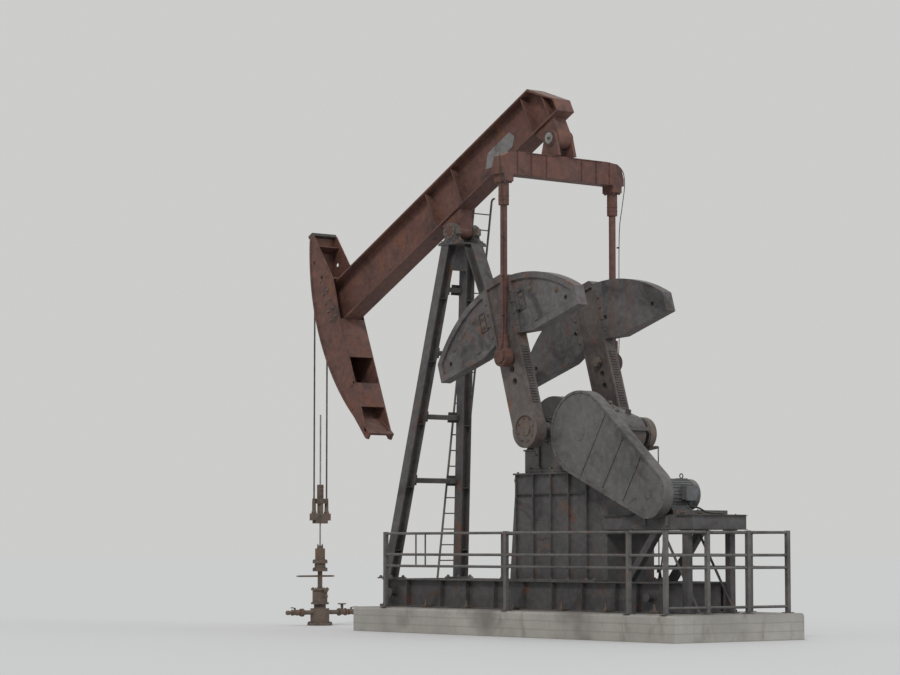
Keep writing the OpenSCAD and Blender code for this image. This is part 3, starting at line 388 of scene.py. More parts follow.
class Kit:
    """Collects solids into one mesh."""

    def __init__(self):
        self.verts = []
        self.faces = []

    def add(self, verts, faces, m=WORLD):
        base = len(self.verts)
        self.verts += [m @ Vector(v) for v in verts]
        self.faces += [[base + i for i in f] for f in faces]

    def block(self, low, high, m=WORLD, bevel=0.004):
        """A box with small chamfers on all its edges."""
        size = [h - l for l, h in zip(low, high)]
        b = min(bevel, min(size) * 0.3)
        verts = []
        for z0, z1 in ((low[2], low[2] + b), (high[2], high[2] - b)):
            for ix in (0, 1):
                for iy in (0, 1):
                    x = high[0] if ix else low[0]
                    y = high[1] if iy else low[1]
                    sx = -b if ix else b
                    sy = -b if iy else b
                    verts += [(x + sx, y + sy, z0), (x, y + sy, z1), (x + sx, y, z1)]
        faces = []

        def c(iz, ix, iy, k):
            return (iz * 4 + ix * 2 + iy) * 3 + k

        for iz in (0, 1):
            ring = [c(iz, 0, 0, 0), c(iz, 1, 0, 0), c(iz, 1, 1, 0), c(iz, 0, 1, 0)]
            faces.append(ring[::-1] if iz == 0 else ring)
            for iy in (0, 1):
                q = [c(iz, 0, iy, 0), c(iz, 1, iy, 0), c(iz, 1, iy, 2), c(iz, 0, iy, 2)]
                faces.append(q if (iz + iy) % 2 else q[::-1])
            for ix in (0, 1):
                q = [c(iz, ix, 0, 0), c(iz, ix, 1, 0), c(iz, ix, 1, 1), c(iz, ix, 0, 1)]
                faces.append(q[::-1] if (iz + ix) % 2 else q)
        for ix in (0, 1):
            q = [c(0, ix, 0, 1), c(0, ix, 1, 1), c(1, ix, 1, 1), c(1, ix, 0, 1)]
            faces.append(q if ix else q[::-1])
        for iy in (0, 1):
            q = [c(0, 0, iy, 2), c(0, 1, iy, 2), c(1, 1, iy, 2), c(1, 0, iy, 2)]
            faces.append(q[::-1] if iy else q)
        for ix in (0, 1):
            for iy in (0, 1):
                q = [c(0, ix, iy, 1), c(0, ix, iy, 2), c(1, ix, iy, 2), c(1, ix, iy, 1)]
                faces.append(q if (ix + iy) % 2 else q[::-1])
                for iz in (0, 1):
                    t = [c(iz, ix, iy, 0), c(iz, ix, iy, 1), c(iz, ix, iy, 2)]
                    faces.append(t if (ix + iy + iz) % 2 else t[::-1])
        self.add(verts, faces, m)

    def lathe(self, start, axis, rings, n=24, m=WORLD, turn=0.0):
        """A turned solid: rings of (distance along the axis, radius) from a start point."""
        axis, side, up = around(axis)
        start = Vector(start)
        verts = []
        for t, r in rings:
            for i in range(n):
                a = turn + 2 * math.pi * i / n
                verts.append(start + axis * t + (side * math.cos(a) + up * math.sin(a)) * max(r, 1e-5))
        self.add(verts, skin(n, len(rings)), m)

    def bolt(self, at, axis, d, m=WORLD, head=None, turn=0.0):
        """A hexagon head or nut on a washer, standing on a face."""
        w = d * 0.16
        h = d * 0.72 if head is None else head
        self.lathe(at, axis, [(-0.002, d * 1.05), (w, d * 1.05)], 12, m)
        self.lathe(at, axis, [(w, d * 0.86), (w + h * 0.82, d * 0.86), (w + h, d * 0.72)], 6, m, turn)
        self.lathe(at, axis, [(w + h, d * 0.5), (w + h + d * 0.28, d * 0.5)], 8, m)

    def bolt_ring(self, centre, axis, radius, count, d, m=WORLD, turn=0.0):
        axis, side, up = around(axis)
        for i in range(count):
            a = turn + 2 * math.pi * i / count
            self.bolt(Vector(centre) + (side * math.cos(a) + up * math.sin(a)) * radius, axis, d, m)

    def bolt_row(self, a, b, count, axis, d, m=WORLD):
        a = Vector(a)
        b = Vector(b)
        for i in range(count):
            self.bolt(a.lerp(b, i / max(1, count - 1)), axis, d, m)

    def tube(self, path, r, n=12, m=WORLD, closed=False):
        """A round bar along a path of points."""
        pts = [Vector(p) for p in path]
        count = len(pts)
        tangents = []
        for i in range(count):
            a = pts[(i - 1) % count] if closed or i > 0 else pts[i]
            b = pts[(i + 1) % count] if closed or i < count - 1 else pts[i]
            tangents.append((b - a).normalized())
        side = tangents[0].orthogonal().normalized()
        verts = []
        for p, t in zip(pts, tangents):
            side = (side - t * side.dot(t)).normalized()
            up = t.cross(side)
            for i in range(n):
                a = 2 * math.pi * i / n
                verts.append(p + (side * math.cos(a) + up * math.sin(a)) * r)
        self.add(verts, skin(n, count, closed), m)

    def plate(self, outline, y0, y1, m=WORLD):
        """A flat plate with an outline in X and Z, from y0 to y1."""
        n = len(outline)
        after = outline[1:] + outline[:1]
        area = sum(a[0] * b[1] - b[0] * a[1] for a, b in zip(outline, after))
        pts = outline if area > 0 else outline[::-1]
        verts = [(x, y0, z) for x, z in pts] + [(x, y1, z) for x, z in pts]
        faces = [list(range(n)), [n + i for i in range(n)][::-1]]
        for i in range(n):
            j = (i + 1) % n
            faces.append([j, i, n + i, n + j])
        self.add(verts, faces, m)

    def side_block(self, s, xs, ys, zs, m=WORLD, bevel=0.004):
        """A block whose Y range lies on side s."""
        y0, y1 = span(s, *ys)
        self.block((xs[0], y0, zs[0]), (xs[1], y1, zs[1]), m, bevel)

    def piece(self, name, mat, body, smooth=False):
        mesh = bpy.data.meshes.new(name)
        mesh.from_pydata([tuple(v) for v in self.verts], [], self.faces)
        mesh.validate()
        mesh.materials.append(MATS[mat])
        if smooth:
            mesh.shade_smooth()
        obj = bpy.data.objects.new(name, mesh)
        bpy.context.scene.collection.objects.link(obj)
        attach(obj, body)
        return obj


def both(values):
    """Each value with each side."""
    return [(v, s) for v in values for s in (-1, 1)]


def arc(centre, r, a0, a1, steps):
    """Points along an arc, ends included."""
    points = [polar(r, a0 + (a1 - a0) * i / steps) for i in range(steps + 1)]
    return [(centre[0] + x, centre[1] + y) for x, y in points]


def ring(kit, at, axis, r_in, r_out, t0, t1, n=48, m=WORLD, a0=0.0, a1=2 * math.pi):
    """A flat ring of rectangular section about an axis."""
    axis, side, up = around(axis)
    full = abs(a1 - a0 - 2 * math.pi) < 1e-6
    steps = n if full else n + 1
    verts = []
    for i in range(steps):
        a = a0 + (a1 - a0) * i / n
        out = side * math.cos(a) + up * math.sin(a)
        for r, t in ((r_in, t0), (r_out, t0), (r_out, t1), (r_in, t1)):
            verts.append(Vector(at) + axis * t + out * r)
    faces = []
    for i in range(n):
        j = (i + 1) % steps
        for k in range(4):
            q = (k + 1) % 4
            faces.append([i * 4 + k, i * 4 + q, j * 4 + q, j * 4 + k])
    if not full:
        faces.append([3, 2, 1, 0])
        faces.append([n * 4 + k for k in range(4)])
    kit.add(verts, faces, m)


def sector(r0, r1, a0, a1, steps):
    """An outline between two arcs about the beam's bearing, on the head's side."""
    return arc((0, 0), r1, a0, a1, steps) + arc((0, 0), r0, a1, a0, steps)


ROPE_R = 0.0178
ROPE_LAY = 0.24
ROPE_Y = 0.155
ROPE_ARC = 4.568


def rope(kit, path, m=WORLD, n=18):
    """A stranded wire rope: six strands that wind round as the path goes on."""
    pts = [Vector(p) for p in path]
    verts = []
    done = 0.0
    side = (pts[1] - pts[0]).normalized().orthogonal().normalized()
    for k, p in enumerate(pts):
        a = pts[max(0, k - 1)]
        b = pts[min(len(pts) - 1, k + 1)]
        t = (b - a).normalized()
        side = (side - t * side.dot(t)).normalized()
        up = t.cross(side)
        if k:
            done += (p - pts[k - 1]).length
        for i in range(n):
            a = 2 * math.pi * i / n
            reach = ROPE_R * (0.91 + 0.09 * math.cos(6 * (a - done * 2 * math.pi / ROPE_LAY)))
            verts.append(p + (side * math.cos(a) + up * math.sin(a)) * reach)
    kit.add(verts, skin(n, len(pts)), m)


# Slab and skid

def skid_fittings():
    kit = Kit()
    for x, s in both([-1.22, 0.05, 1.25, 2.60, 3.90, 5.05, 6.27]):
        kit.side_block(s, (x - 0.07, x + 0.07), (0.775, 0.965), (0.475, 0.500))
        kit.side_block(s, (x - 0.07, x + 0.07), (0.857, 0.965), (0.449, 0.475))
        kit.bolt((x, s * 0.905, 0.500), (0, 0, 1), 0.036)
        kit.lathe((x, s * 0.905, 0.52), (0, 0, 1), [(0, 0.017), (0.075, 0.017), (0.08, 0.013)], 10)
    kit.piece("skid_anchor_clamps", "bolt", "frame")

    kit = Kit()
    for x, s in both([-1.30, -0.62, 0.40, 1.15, 1.95, 2.75, 3.55, 4.35, 5.20, 5.75, 6.33]):
        for ys in ((0.748, 0.842), (0.638, 0.732)):
            kit.side_block(s, (x - 0.007, x + 0.007), ys, (0.474, 0.951), bevel=0.002)
    stub = [(0, 0.085), (0.012, 0.085), (0.012, 0.062), (0.13, 0.062), (0.13, 0.078), (0.145, 0.078)]
    for x, s in both([-1.08, 6.05]):
        kit.lathe((x, s * 0.749, 0.715), (0, s, 0), stub, 28)
    kit.piece("skid_web_stiffeners", "frame", "frame")

    kit = Kit()
    for x, s in both([2.12, 2.42, 2.98, 3.48, 3.96, 4.44, 4.64]):
        kit.bolt((x, s * 0.800, 1.000), (0, 0, 1), 0.030)
    for x, s in both([-1.272, -0.948]):
        for y in (0.672, 0.955):
            kit.bolt((x, s * y, 1.000), (0, 0, 1), 0.034)
    for x, s in both([2.288, 2.512]):
        kit.bolt((x, s * 0.150, 2.915), (0, 0, 1), 0.028)
    kit.piece("foot_bolts", "bolt", "frame")


# Pedestal

def pedestal_fittings():
    kit = Kit()
    for s in (-1, 1):
        kit.side_block(s, (2.83, 3.19), (0.549, 0.564), (1.42, 2.04))
        handle = ((2.93, 0.564), (2.93, 0.60), (3.09, 0.60), (3.09, 0.564))
        kit.tube([(x, s * y, 1.73) for x, y in handle], 0.008, 8)
        for x0 in (2.302, 2.782, 3.262, 3.742):
            kit.side_block(s, (x0, x0 + 0.456), (0.548, 0.598), (2.50, 2.512), bevel=0.002)
    kit.piece("pedestal_covers", "frame", "frame")

    kit = Kit()
    for s in (-1, 1):
        for x in (2.86, 3.16):
            for z in (1.46, 1.73, 2.00):
                kit.bolt((x, s * 0.564, z), (0, s, 0), 0.016)
        for x in (2.34, 2.66, 2.98, 3.30, 3.62, 3.94, 4.26, 4.58):
            kit.bolt((x, s * 0.585, 2.890), (0, 0, 1), 0.022)
    kit.piece("pedestal_bolts", "bolt", "frame")

    kit = Kit()
    for s in (-1, 1):
        kit.block((2.165, s * 0.47 - 0.012, 2.745), (2.245, s * 0.47 + 0.012, 2.86), bevel=0.003)
        loop = [polar(0.050, 2 * math.pi * i / 20) for i in range(20)]
        kit.tube([(2.160 + x, s * 0.47, 2.765 + z) for x, z in loop], 0.011, 8, closed=True)
    kit.piece("pedestal_lifting_rings", "bolt", "frame", smooth=True)


# Gearbox and brake

GEAR_TOP = lean((3.4149, 0, 4.2146), -0.3426)
DRUM_X = 4.240
DRUM_Z = 3.570


def gearbox_fittings():
    kit = Kit()
    kit.block((0.20, -0.27, -0.004), (0.76, 0.27, 0.028), GEAR_TOP, 0.006)
    kit.lathe((0.62, 0.12, 0.026), (0, 0, 1), [(0, 0.034), (0.03, 0.034), (0.03, 0.022), (0.085, 0.022),
                                                (0.085, 0.045), (0.11, 0.045), (0.125, 0.030)], 20, GEAR_TOP)
    for y in (-0.36, 0.36):
        for x in (0.00, 0.80):
            lug = [(x, -0.02), (x + 0.16, -0.02), (x + 0.13, 0.09), (x + 0.03, 0.09)]
            kit.plate(lug, y - 0.012, y + 0.012, GEAR_TOP)
    for x, s in both([2.86, 3.64, 3.96]):
        kit.side_block(s, (x - 0.012, x + 0.012), (0.498, 0.545), (2.948, 3.612), bevel=0.003)
    for s in (-1, 1):
        ring(kit, (SHAFT.x, 0, SHAFT.z), (0, s, 0), 0.165, 0.190, 0.608, 0.640, 40)
        kit.lathe((DRUM_X, s * 0.548, DRUM_Z), (0, s, 0), [(0, 0.185), (0.018, 0.185), (0.022, 0.178)], 32)
    kit.block((2.405, -0.490, 2.892), (2.730, 0.490, 3.300), bevel=0.018)
    kit.block((2.390, -0.505, 3.285), (2.700, 0.505, 3.315), bevel=0.004)
    kit.piece("gearbox_castings", "gear", "frame")

    kit = Kit()
    for s in (-1, 1):
        for z, up in ((3.670, 1), (3.610, -1)):
            kit.bolt_row((2.575, s * 0.525, z), (4.595, s * 0.525, z), 12, (0, 0, up), 0.026)
        kit.bolt_row((2.60, s * 0.525, 2.950), (4.57, s * 0.525, 2.950), 8, (0, 0, 1), 0.034)
        kit.bolt_ring((SHAFT.x, s * 0.609, SHAFT.z), (0, s, 0), 0.220, 10, 0.020)
    for y in (-0.40, -0.13, 0.13, 0.40):
        for x in (2.575, 4.595):
            kit.bolt((x, y, 3.670), (0, 0, 1), 0.026)
    for y in (-0.245, 0.0, 0.245):
        for x in (0.225, 0.735):
            kit.bolt((x, y, 0.028), (0, 0, 1), 0.014, GEAR_TOP)
    for x in (0.352, 0.48, 0.608):
        for y in (-0.245, 0.245):
            kit.bolt((x, y, 0.028), (0, 0, 1), 0.014, GEAR_TOP)
    for y in (-0.44, -0.22, 0.0, 0.22, 0.44):
        kit.bolt((2.425, y, 3.315), (0, 0, 1), 0.018)
    kit.bolt((2.405, 0.16, 2.99), (-1, 0, 0), 0.036)
    kit.lathe((2.407, -0.2, 3.16), (-1, 0, 0), [(0, 0.030), (0.02, 0.030), (0.02, 0.016), (0.05, 0.016)], 16)
    kit.piece("gearbox_bolts", "bolt", "frame")


def brake():
    kit = Kit()
    ring(kit, (DRUM_X, 0, DRUM_Z), (0, 1, 0), 0.2905, 0.300, 0.640, 0.765, 56)
    for degrees in (-62, 118):
        dx, dz = polar(0.31, math.radians(degrees))
        p = Vector((DRUM_X + dx, 0.70, DRUM_Z + dz))
        kit.block(p - Vector((0.022, 0.05, 0.022)), p + Vector((0.022, 0.05, 0.022)))
    kit.plate([(4.30, 3.255), (4.64, 3.300), (4.66, 3.325), (4.64, 3.350), (4.30, 3.345)], 0.692, 0.712)
    kit.lathe((4.635, 0.670, 3.325), (0, 1, 0), [(0, 0.016), (0.06, 0.016)], 12)
    kit.tube([(4.635, 0.725, 3.33), (4.635, 0.725, 1.16)], 0.011, 10)
    kit.block((4.60, 0.70, 1.115), (4.67, 0.75, 1.185))
    kit.block((4.56, 0.68, 0.999), (4.69, 0.78, 1.015), bevel=0.003)
    kit.plate([(4.575, 1.01), (4.675, 1.01), (4.645, 1.15), (4.605, 1.15)], 0.752, 0.764)
    kit.tube([(4.625, 0.775, 1.15), (4.66, 0.79, 1.40), (4.70, 0.79, 1.84)], 0.014, 10)
    kit.tube([(4.70, 0.79, 1.84), (4.716, 0.79, 1.98)], 0.020, 12)
    kit.piece("brake_band_and_lever", "bolt", "frame")


# Belt guard

GUARD_BIG = (4.300, 3.550)
GUARD_SMALL = (6.050, 2.470)
RIM_BIG = 0.716
RIM_SMALL = 0.408


def guard_fittings():
    dx = GUARD_SMALL[0] - GUARD_BIG[0]
    dz = GUARD_SMALL[1] - GUARD_BIG[1]
    reach = math.hypot(dx, dz)
    turn = math.atan2(dz, dx)
    open_a = math.acos((0.740 - 0.430) / reach)
    rim = arc(GUARD_BIG, RIM_BIG, turn + open_a, turn - open_a + 2 * math.pi, 12)
    rim += arc(GUARD_SMALL, RIM_SMALL, turn - open_a, turn + open_a, 5)
    for s in (-1, 1):
        away = Vector(polar(1, turn + s * open_a))
        p = Vector(GUARD_BIG) + away * RIM_BIG
        q = Vector(GUARD_SMALL) + away * RIM_SMALL
        rim += [tuple(p.lerp(q, i / 6)) for i in range(1, 6)]
    kit = Kit()
    for x, z in rim:
        kit.bolt((x, -0.860, z), (0, -1, 0), 0.015)
    for c, r in ((GUARD_BIG, 0.14), (GUARD_SMALL, 0.10)):
        kit.bolt_ring((c[0], -0.850, c[1]), (0, -1, 0), r - 0.022, 6, 0.010)
    kit.piece("belt_guard_bolts", "bolt", "frame")

    kit = Kit()
    for c, r in ((GUARD_BIG, 0.14), (GUARD_SMALL, 0.10)):
        kit.lathe((c[0], -0.843, c[1]), (0, -1, 0), [(0, r), (0.006, r), (0.009, r - 0.004)], 36)
    along = Matrix.Translation((GUARD_BIG[0], 0, GUARD_BIG[1])) @ Matrix.Rotation(-turn, 4, "Y")
    for x, h in ((0.42, 0.60), (1.02, 0.50), (1.58, 0.42)):
        kit.block((x - 0.020, -0.857, -h), (x + 0.020, -0.843, h), along, 0.003)
    for x, z in ((3.90, 3.80), (4.10, 3.34)):
        kit.lathe((x, -0.64, z), (0, 1, 0), [(0, 0.030), (0.145, 0.030)], 16)
    for x in (5.74, 6.30):
        kit.block((x - 0.04, -0.645, 1.92), (x + 0.04, -0.618, 2.10), bevel=0.003)
    kit.piece("belt_guard_stiffeners", "guard", "frame")


# Motor and platform

MOTOR_X = 6.050
MOTOR_Z = 2.460


def motor_fittings():
    kit = Kit()
    grille = (MOTOR_X, 0.1395, MOTOR_Z)
    ring(kit, grille, (0, 1, 0), 0.028, 0.036, 0, 0.010, 24)
    for r in (0.075, 0.120, 0.165, 0.210, 0.246):
        ring(kit, grille, (0, 1, 0), r, r + 0.010, 0, 0.008, 40)
    for i in range(8):
        spoke = [polar(r, math.pi * i / 4) for r in (0.030, 0.252)]
        kit.tube([(MOTOR_X + x, 0.144, MOTOR_Z + z) for x, z in spoke], 0.004, 6)
    kit.block((6.275, -0.300, 2.360), (6.420, -0.060, 2.600), bevel=0.010)
    kit.block((6.420, -0.310, 2.350), (6.432, -0.050, 2.610), bevel=0.003)
    kit.block((6.200, -0.240, 2.420), (6.280, -0.120, 2.540), bevel=0.004)
    kit.piece("motor_box_and_grille", "motor", "frame")

    kit = Kit()
    path = [(6.35, -0.18, 2.362), (6.35, -0.18, 2.310), (6.37, -0.17, 2.270), (6.42, -0.14, 2.248),
            (6.50, -0.09, 2.228), (6.60, -0.01, 2.160), (6.72, 0.09, 2.136), (6.82, 0.17, 2.128),
            (6.86, 0.20, 2.100)]
    kit.tube(smooth_path(path, 6), 0.017, 12)
    kit.lathe((6.35, -0.18, 2.365), (0, 0, -1), [(0, 0.028), (0.04, 0.028), (0.045, 0.022)], 16)
    kit.piece("motor_conduit", "rubber", "frame", smooth=True)

    kit = Kit()
    for y in (-0.465, -0.075):
        for x in (5.86, 6.24):
            kit.bolt((x, y, 2.220), (0, 0, 1), 0.022)
        kit.lathe((6.475, y, 2.150), (1, 0, 0), [(0, 0.012), (0.10, 0.012)], 10)
        kit.bolt((6.480, y, 2.150), (1, 0, 0), 0.022)
        for x in (5.375, 6.435):
            kit.bolt((x, y + 0.028, 2.190), (0, 0, 1), 0.016)
    for z in (2.385, 2.575):
        for y in (-0.285, -0.075):
            kit.bolt((6.432, y, z), (1, 0, 0), 0.009)
    kit.bolt_ring((MOTOR_X, -0.62, MOTOR_Z), (0, -1, 0), 0.19, 6, 0.014)
    for x in (4.90, 5.50, 6.10, 6.70):
        for s in (-1, 1):
            kit.bolt((x, s * 0.585, 2.115), (0, 0, 1), 0.014)
    kit.piece("motor_and_deck_bolts", "bolt", "frame")

    kit = Kit()
    strips = ((4.705, 0.619, 6.918, 0.660), (6.919, -0.618, 6.955, 0.618),
              (4.705, -0.660, 5.45, -0.619), (6.52, -0.660, 6.918, -0.619))
    for z in (1.860, 2.093):
        for x0, y0, x1, y1 in strips:
            kit.block((x0, y0, z), (x1, y1, z + 0.010), bevel=0.002)
    for x, s in both([5.95, 6.65]):
        kit.side_block(s, (x - 0.10, x + 0.10), (0.42, 0.58), (1.845, 1.861), bevel=0.003)
    for s in (-1, 1):
        kit.side_block(s, (6.54, 6.76), (0.41, 0.59), (0.449, 0.468), bevel=0.003)
    kit.piece("platform_flanges", "frame", "frame")


def smooth_path(points, steps):
    """A Catmull-Rom curve through the points."""
    pts = [Vector(p) for p in points]
    pts = [pts[0] * 2 - pts[1]] + pts + [pts[-1] * 2 - pts[-2]]
    out = []
    for i in range(1, len(pts) - 2):
        a, b, c, d = pts[i - 1:i + 3]
        for k in range(steps):
            t = k / steps
            out.append(0.5 * ((2 * b) + (c - a) * t + (2 * a - 5 * b + 4 * c - d) * t * t
                              + (3 * b - a - 3 * c + d) * t ** 3))
    out.append(pts[-2])
    return out


# Post, ladder and saddle

LADDER_Y = 0.440


def post_t(z):
    """How far along the leaning post a height lies."""
    return (z - SKID_TOP) / math.cos(POST_LEAN)


def leg_y(t):
    return 0.850 - (0.850 - 0.225) * t / post_t(7.260)


def post_fittings():
    kit = Kit()
    bolts = Kit()
    for z in (2.820, 4.025, 5.230, 6.435):
        t = post_t(z)
        y = leg_y(t)
        for s in (-1, 1):
            inner = max(0.02, y - 0.105 - 0.20)
            kit.side_block(s, (-0.117, -0.105), (inner, y + 0.085), (t - 0.10, t + 0.10), POST, 0.002)
            for dy in (-0.045, 0.045):
                for dt in (-0.065, 0.065):
                    bolts.bolt((-0.117, s * (y + dy), t + dt), (-1, 0, 0), 0.018, POST)
            if y - 0.25 > 0:
                for dt in (-0.025, 0.025):
                    bolts.bolt((-0.117, s * (y - 0.21), t + dt), (-1, 0, 0), 0.016, POST)
    for s in (-1, 1):
        for k in range(5):
            t = 0.55 + k * 1.2
            for xs in ((-0.100, -0.006), (0.006, 0.100)):
                kit.side_block(s, xs, (leg_y(t) - 0.086, leg_y(t) + 0.084), (t, t + 0.012), POST, 0.002)
    kit.piece("post_gussets", "frame", "frame")

    for x, s in both([-0.225, 0.225]):
        bolts.bolt((x, s * 0.2325, 7.350), (0, 0, 1), 0.034)
    for x, s in both([-0.26, -0.09, 0.09, 0.26]):
        bolts.bolt((x, s * 0.318, 7.300), (0, 0, 1), 0.020)
    bolts.piece("post_bolts", "bolt", "frame")

    kit = Kit()
    for s in (-1, 1):
        y = s * 0.300
        ring(kit, (0, y, SADDLE_Z), (0, s, 0), 0.094, 0.150, -0.001, 0.014, 40)
        kit.bolt_ring((0, y + s * 0.013, SADDLE_Z), (0, s, 0), 0.125, 8, 0.014)
        for sx in (-1, 1):
            kit.side_block(s, span(sx, 0.140, 0.225), (0.180, 0.285), (7.455, 7.585), bevel=0.006)
            kit.bolt((sx * 0.190, s * 0.2325, 7.585), (0, 0, 1), 0.030)
    kit.piece("saddle_caps", "bolt", "frame")


def ladder_fittings():
    kit = Kit()
    for z in (5.230, 6.435, 7.15):
        t = post_t(z)
        y = leg_y(t)
        y0 = min(y, LADDER_Y) - 0.01
        y1 = max(y, LADDER_Y) + 0.03
        kit.block((-0.205, y0, t - 0.020), (-0.185, y1, t + 0.020), POST, 0.003)
        kit.block((-0.190, y - 0.03, t - 0.020), (-0.105, y + 0.03, t + 0.020), POST, 0.003)
    t = post_t(8.10)
    for y in (LADDER_Y, LADDER_Y + 0.420):
        kit.tube(smooth_path([(-0.195, y, t - 0.02), (-0.195, y, t + 0.05), (-0.175, y, t + 0.10),
                              (-0.12, y, t + 0.125)], 5), 0.020, 10, POST)
    kit.piece("ladder_brackets", "ladder", "frame")


# Walking beam and horsehead

def beam_fittings():
    kit = Kit()
    for s in (-1, 1):
        kit.bolt_row((-0.25, s * 0.150, 0.372), (0.25, s * 0.150, 0.372), 5, (0, 0, 1), 0.034, BEAM)
        kit.bolt_row((2.86, s * 0.120, 0.372), (3.30, s * 0.120, 0.372), 4, (0, 0, 1), 0.034, BEAM)
        for x in (-0.25, 0.25):
            kit.bolt((x, s * 0.120, 0.340), (0, 0, -1), 0.034, BEAM)
        for x in (-3.86, -4.02):
            for z in (0.46, 0.66, 0.86, 1.06):
                kit.bolt((x, s * 0.300, z), (0, s, 0), 0.034, BEAM)
        kit.bolt_row((-3.98, s * 0.300, 1.34), (-3.78, s * 0.300, 1.34), 2, (0, s, 0), 0.026, BEAM)
        kit.bolt_ring((0, s * 0.320, 0), (0, s, 0), 0.055, 4, 0.012, BEAM)
        for i in range(9):
            x, z = polar(4.475, math.radians(153 + i * 6.6))
            kit.bolt((x, s * 0.308, z), (0, s, 0), 0.016, BEAM)
    kit.piece("beam_bolts", "bolt", "beam")

    def below(shape):
        return [polar(-q, math.radians(a)) for q, a in shape]

    tip = [(4.500, 22.0), (4.552, 20.5), (4.590, 24.0), (4.660, 28.0), (4.640, 28.8), (4.500, 28.8)]
    edges = [
        [(-3.775, 0.335), (-3.620, 1.180), (-3.790, 2.29), (-3.835, 2.28), (-3.670, 1.180), (-3.820, 0.335)],
        [(-3.775, 0.330), (-4.012, -2.12), (-4.062, -2.12), (-3.822, 0.330)],
        [(-4.06, -1.02), (-3.915, -1.00), (-3.915, -1.05), (-4.06, -1.07)],
    ]
    kit = Kit()
    kit.plate(below([(4.500, 27.6), (4.545, 27.6), (4.545, 28.8), (4.500, 28.8)]), -0.256, 0.256, BEAM)
    for s in (-1, 1):
        for z in (0.374, 1.146):
            kit.tube([(-3.6, s * 0.013, z), (3.0, s * 0.013, z)], 0.009, 6, BEAM)
        y0, y1 = span(s, 0.299, 0.309)
        low = math.radians(180 + 27.4)
        high = math.radians(180 - 30.2)
        kit.plate(sector(4.500, 4.548, high, low, 40), y0, y1, BEAM)
        for edge in edges:
            kit.plate(edge, y0, y1, BEAM)
        kit.plate(below(tip), *span(s, 0.255, 0.299), BEAM)
        for y in (0.105, 0.205):
            g0, g1 = span(s, y - 0.006, y + 0.006)
            kit.plate(sector(4.548, 4.572, high, low, 48), g0, g1, BEAM)
    kit.piece("head_edge_bars", "beam", "beam")

    kit = Kit()
    patch = [(1.16, 0.66), (1.30, 0.60), (2.02, 0.60), (2.16, 0.74), (2.06, 0.90), (1.36, 0.90)]
    kit.plate(patch, -0.020, -0.012, BEAM)
    kit.piece("beam_bare_plate", "plate", "beam")

    kit = Kit()
    for s in (-1, 1):
        a0 = math.pi - math.radians(30.8 - 0.35)
        a1 = math.pi - TILT - math.radians(0.01)
        rope(kit, [(x, s * ROPE_Y, z) for x, z in arc((0, 0), ROPE_ARC, a0, a1, 30)], BEAM)
        for a in (a0 + 0.012, a0 + 0.026):
            d = Vector((math.cos(a), 0, math.sin(a)))
            p = d * ROPE_ARC + Vector((0, s * ROPE_Y, 0))
            for dy in (0.032, -0.032):
                kit.lathe(p - d * 0.020 + Vector((0, dy, 0)), d, [(0, 0.007), (0.055, 0.007)], 8, BEAM)
            half = Vector((0.014, 0.042, 0.014))
            kit.block(p + d * 0.020 - half, p + d * 0.020 + half, BEAM)
    kit.piece("rope_ends", "rope", "beam")


# Equalizer, pitmans and wrist bearings

def equalizer_fittings():
    kit = Kit()
    bolts = Kit()
    for s in (-1, 1):
        ring(kit, (0, s * 0.215, 0), (0, s, 0), 0.110, 0.150, -0.001, 0.010, 36, EQUAL)
        bolts.bolt_ring((0, s * 0.225, 0), (0, s, 0), 0.130, 8, 0.012, EQUAL)
        bolts.bolt((0, s * 0.240, 0), (0, s, 0), 0.030, EQUAL)
        for x in (-0.150, 0.150):
            kit.side_block(s, (x - 0.012, x + 0.012), (0.24, 0.90), (-0.360, -0.345), EQUAL, 0.002)
        for y in (0.42, 0.78, 1.10):
            for sx in (-1, 1):
                x0, x1 = span(sx, 0.149, 0.165)
                kit.block((x0, s * y - 0.008, -0.755), (x1, s * y + 0.008, -0.345), EQUAL, 0.002)
        for sx in (-1, 1):
            for dy in (-0.070, 0.070):
                bolts.bolt((sx * 0.115, s * 1.300 + dy, -0.890), (0, 0, -1), 0.028, EQUAL)
        ring(kit, (0, s * 1.300, 0), (0, 0, 1), 0.060, 0.125, -0.905, -0.889, 32, EQUAL)
        bolts.bolt_ring((0, s * 1.385, -PITMAN), (0, s, 0), 0.142, 8, 0.018, EQUAL)
        bolts.bolt_ring((0, s * 1.415, -PITMAN), (0, s, 0), 0.085, 6, 0.012, EQUAL)
        for dy in (-0.055, 0.055):
            for sx in (-1, 1):
                bolts.bolt((sx * 0.074, s * 1.300 + dy, -PITMAN + 0.155), (0, 0, 1), 0.018, EQUAL)
        for z in (-1.15, -1.22, -PITMAN + 0.30, -PITMAN + 0.36):
            ring(kit, (0, s * 1.300, 0), (0, 0, 1), 0.094, 0.099, z - 0.008, z + 0.008, 28, EQUAL)
    kit.piece("equalizer_ribs", "beam", "equalizer_set")

    kit = Kit()
    hose = [(0.060, 1.440, -0.390), (0.110, 1.490, -0.520), (0.135, 1.490, -0.760), (0.120, 1.440, -1.150),
            (0.092, 1.395, -1.600), (0.085, 1.385, -2.600), (0.085, 1.385, -3.550), (0.060, 1.392, -3.870)]
    for s in (-1, 1):
        kit.tube(smooth_path([(x, s * y, z) for x, y, z in hose], 5), 0.0075, 8, EQUAL)
        for z in (-1.9, -2.6, -3.3):
            kit.side_block(s, (0.056, 0.096), (1.352, 1.396), (z - 0.012, z + 0.012), EQUAL, 0.002)
    kit.piece("grease_lines", "rubber", "equalizer_set", smooth=True)
    bolts.piece("equalizer_bolts", "bolt", "equalizer_set")


# Cranks and weights

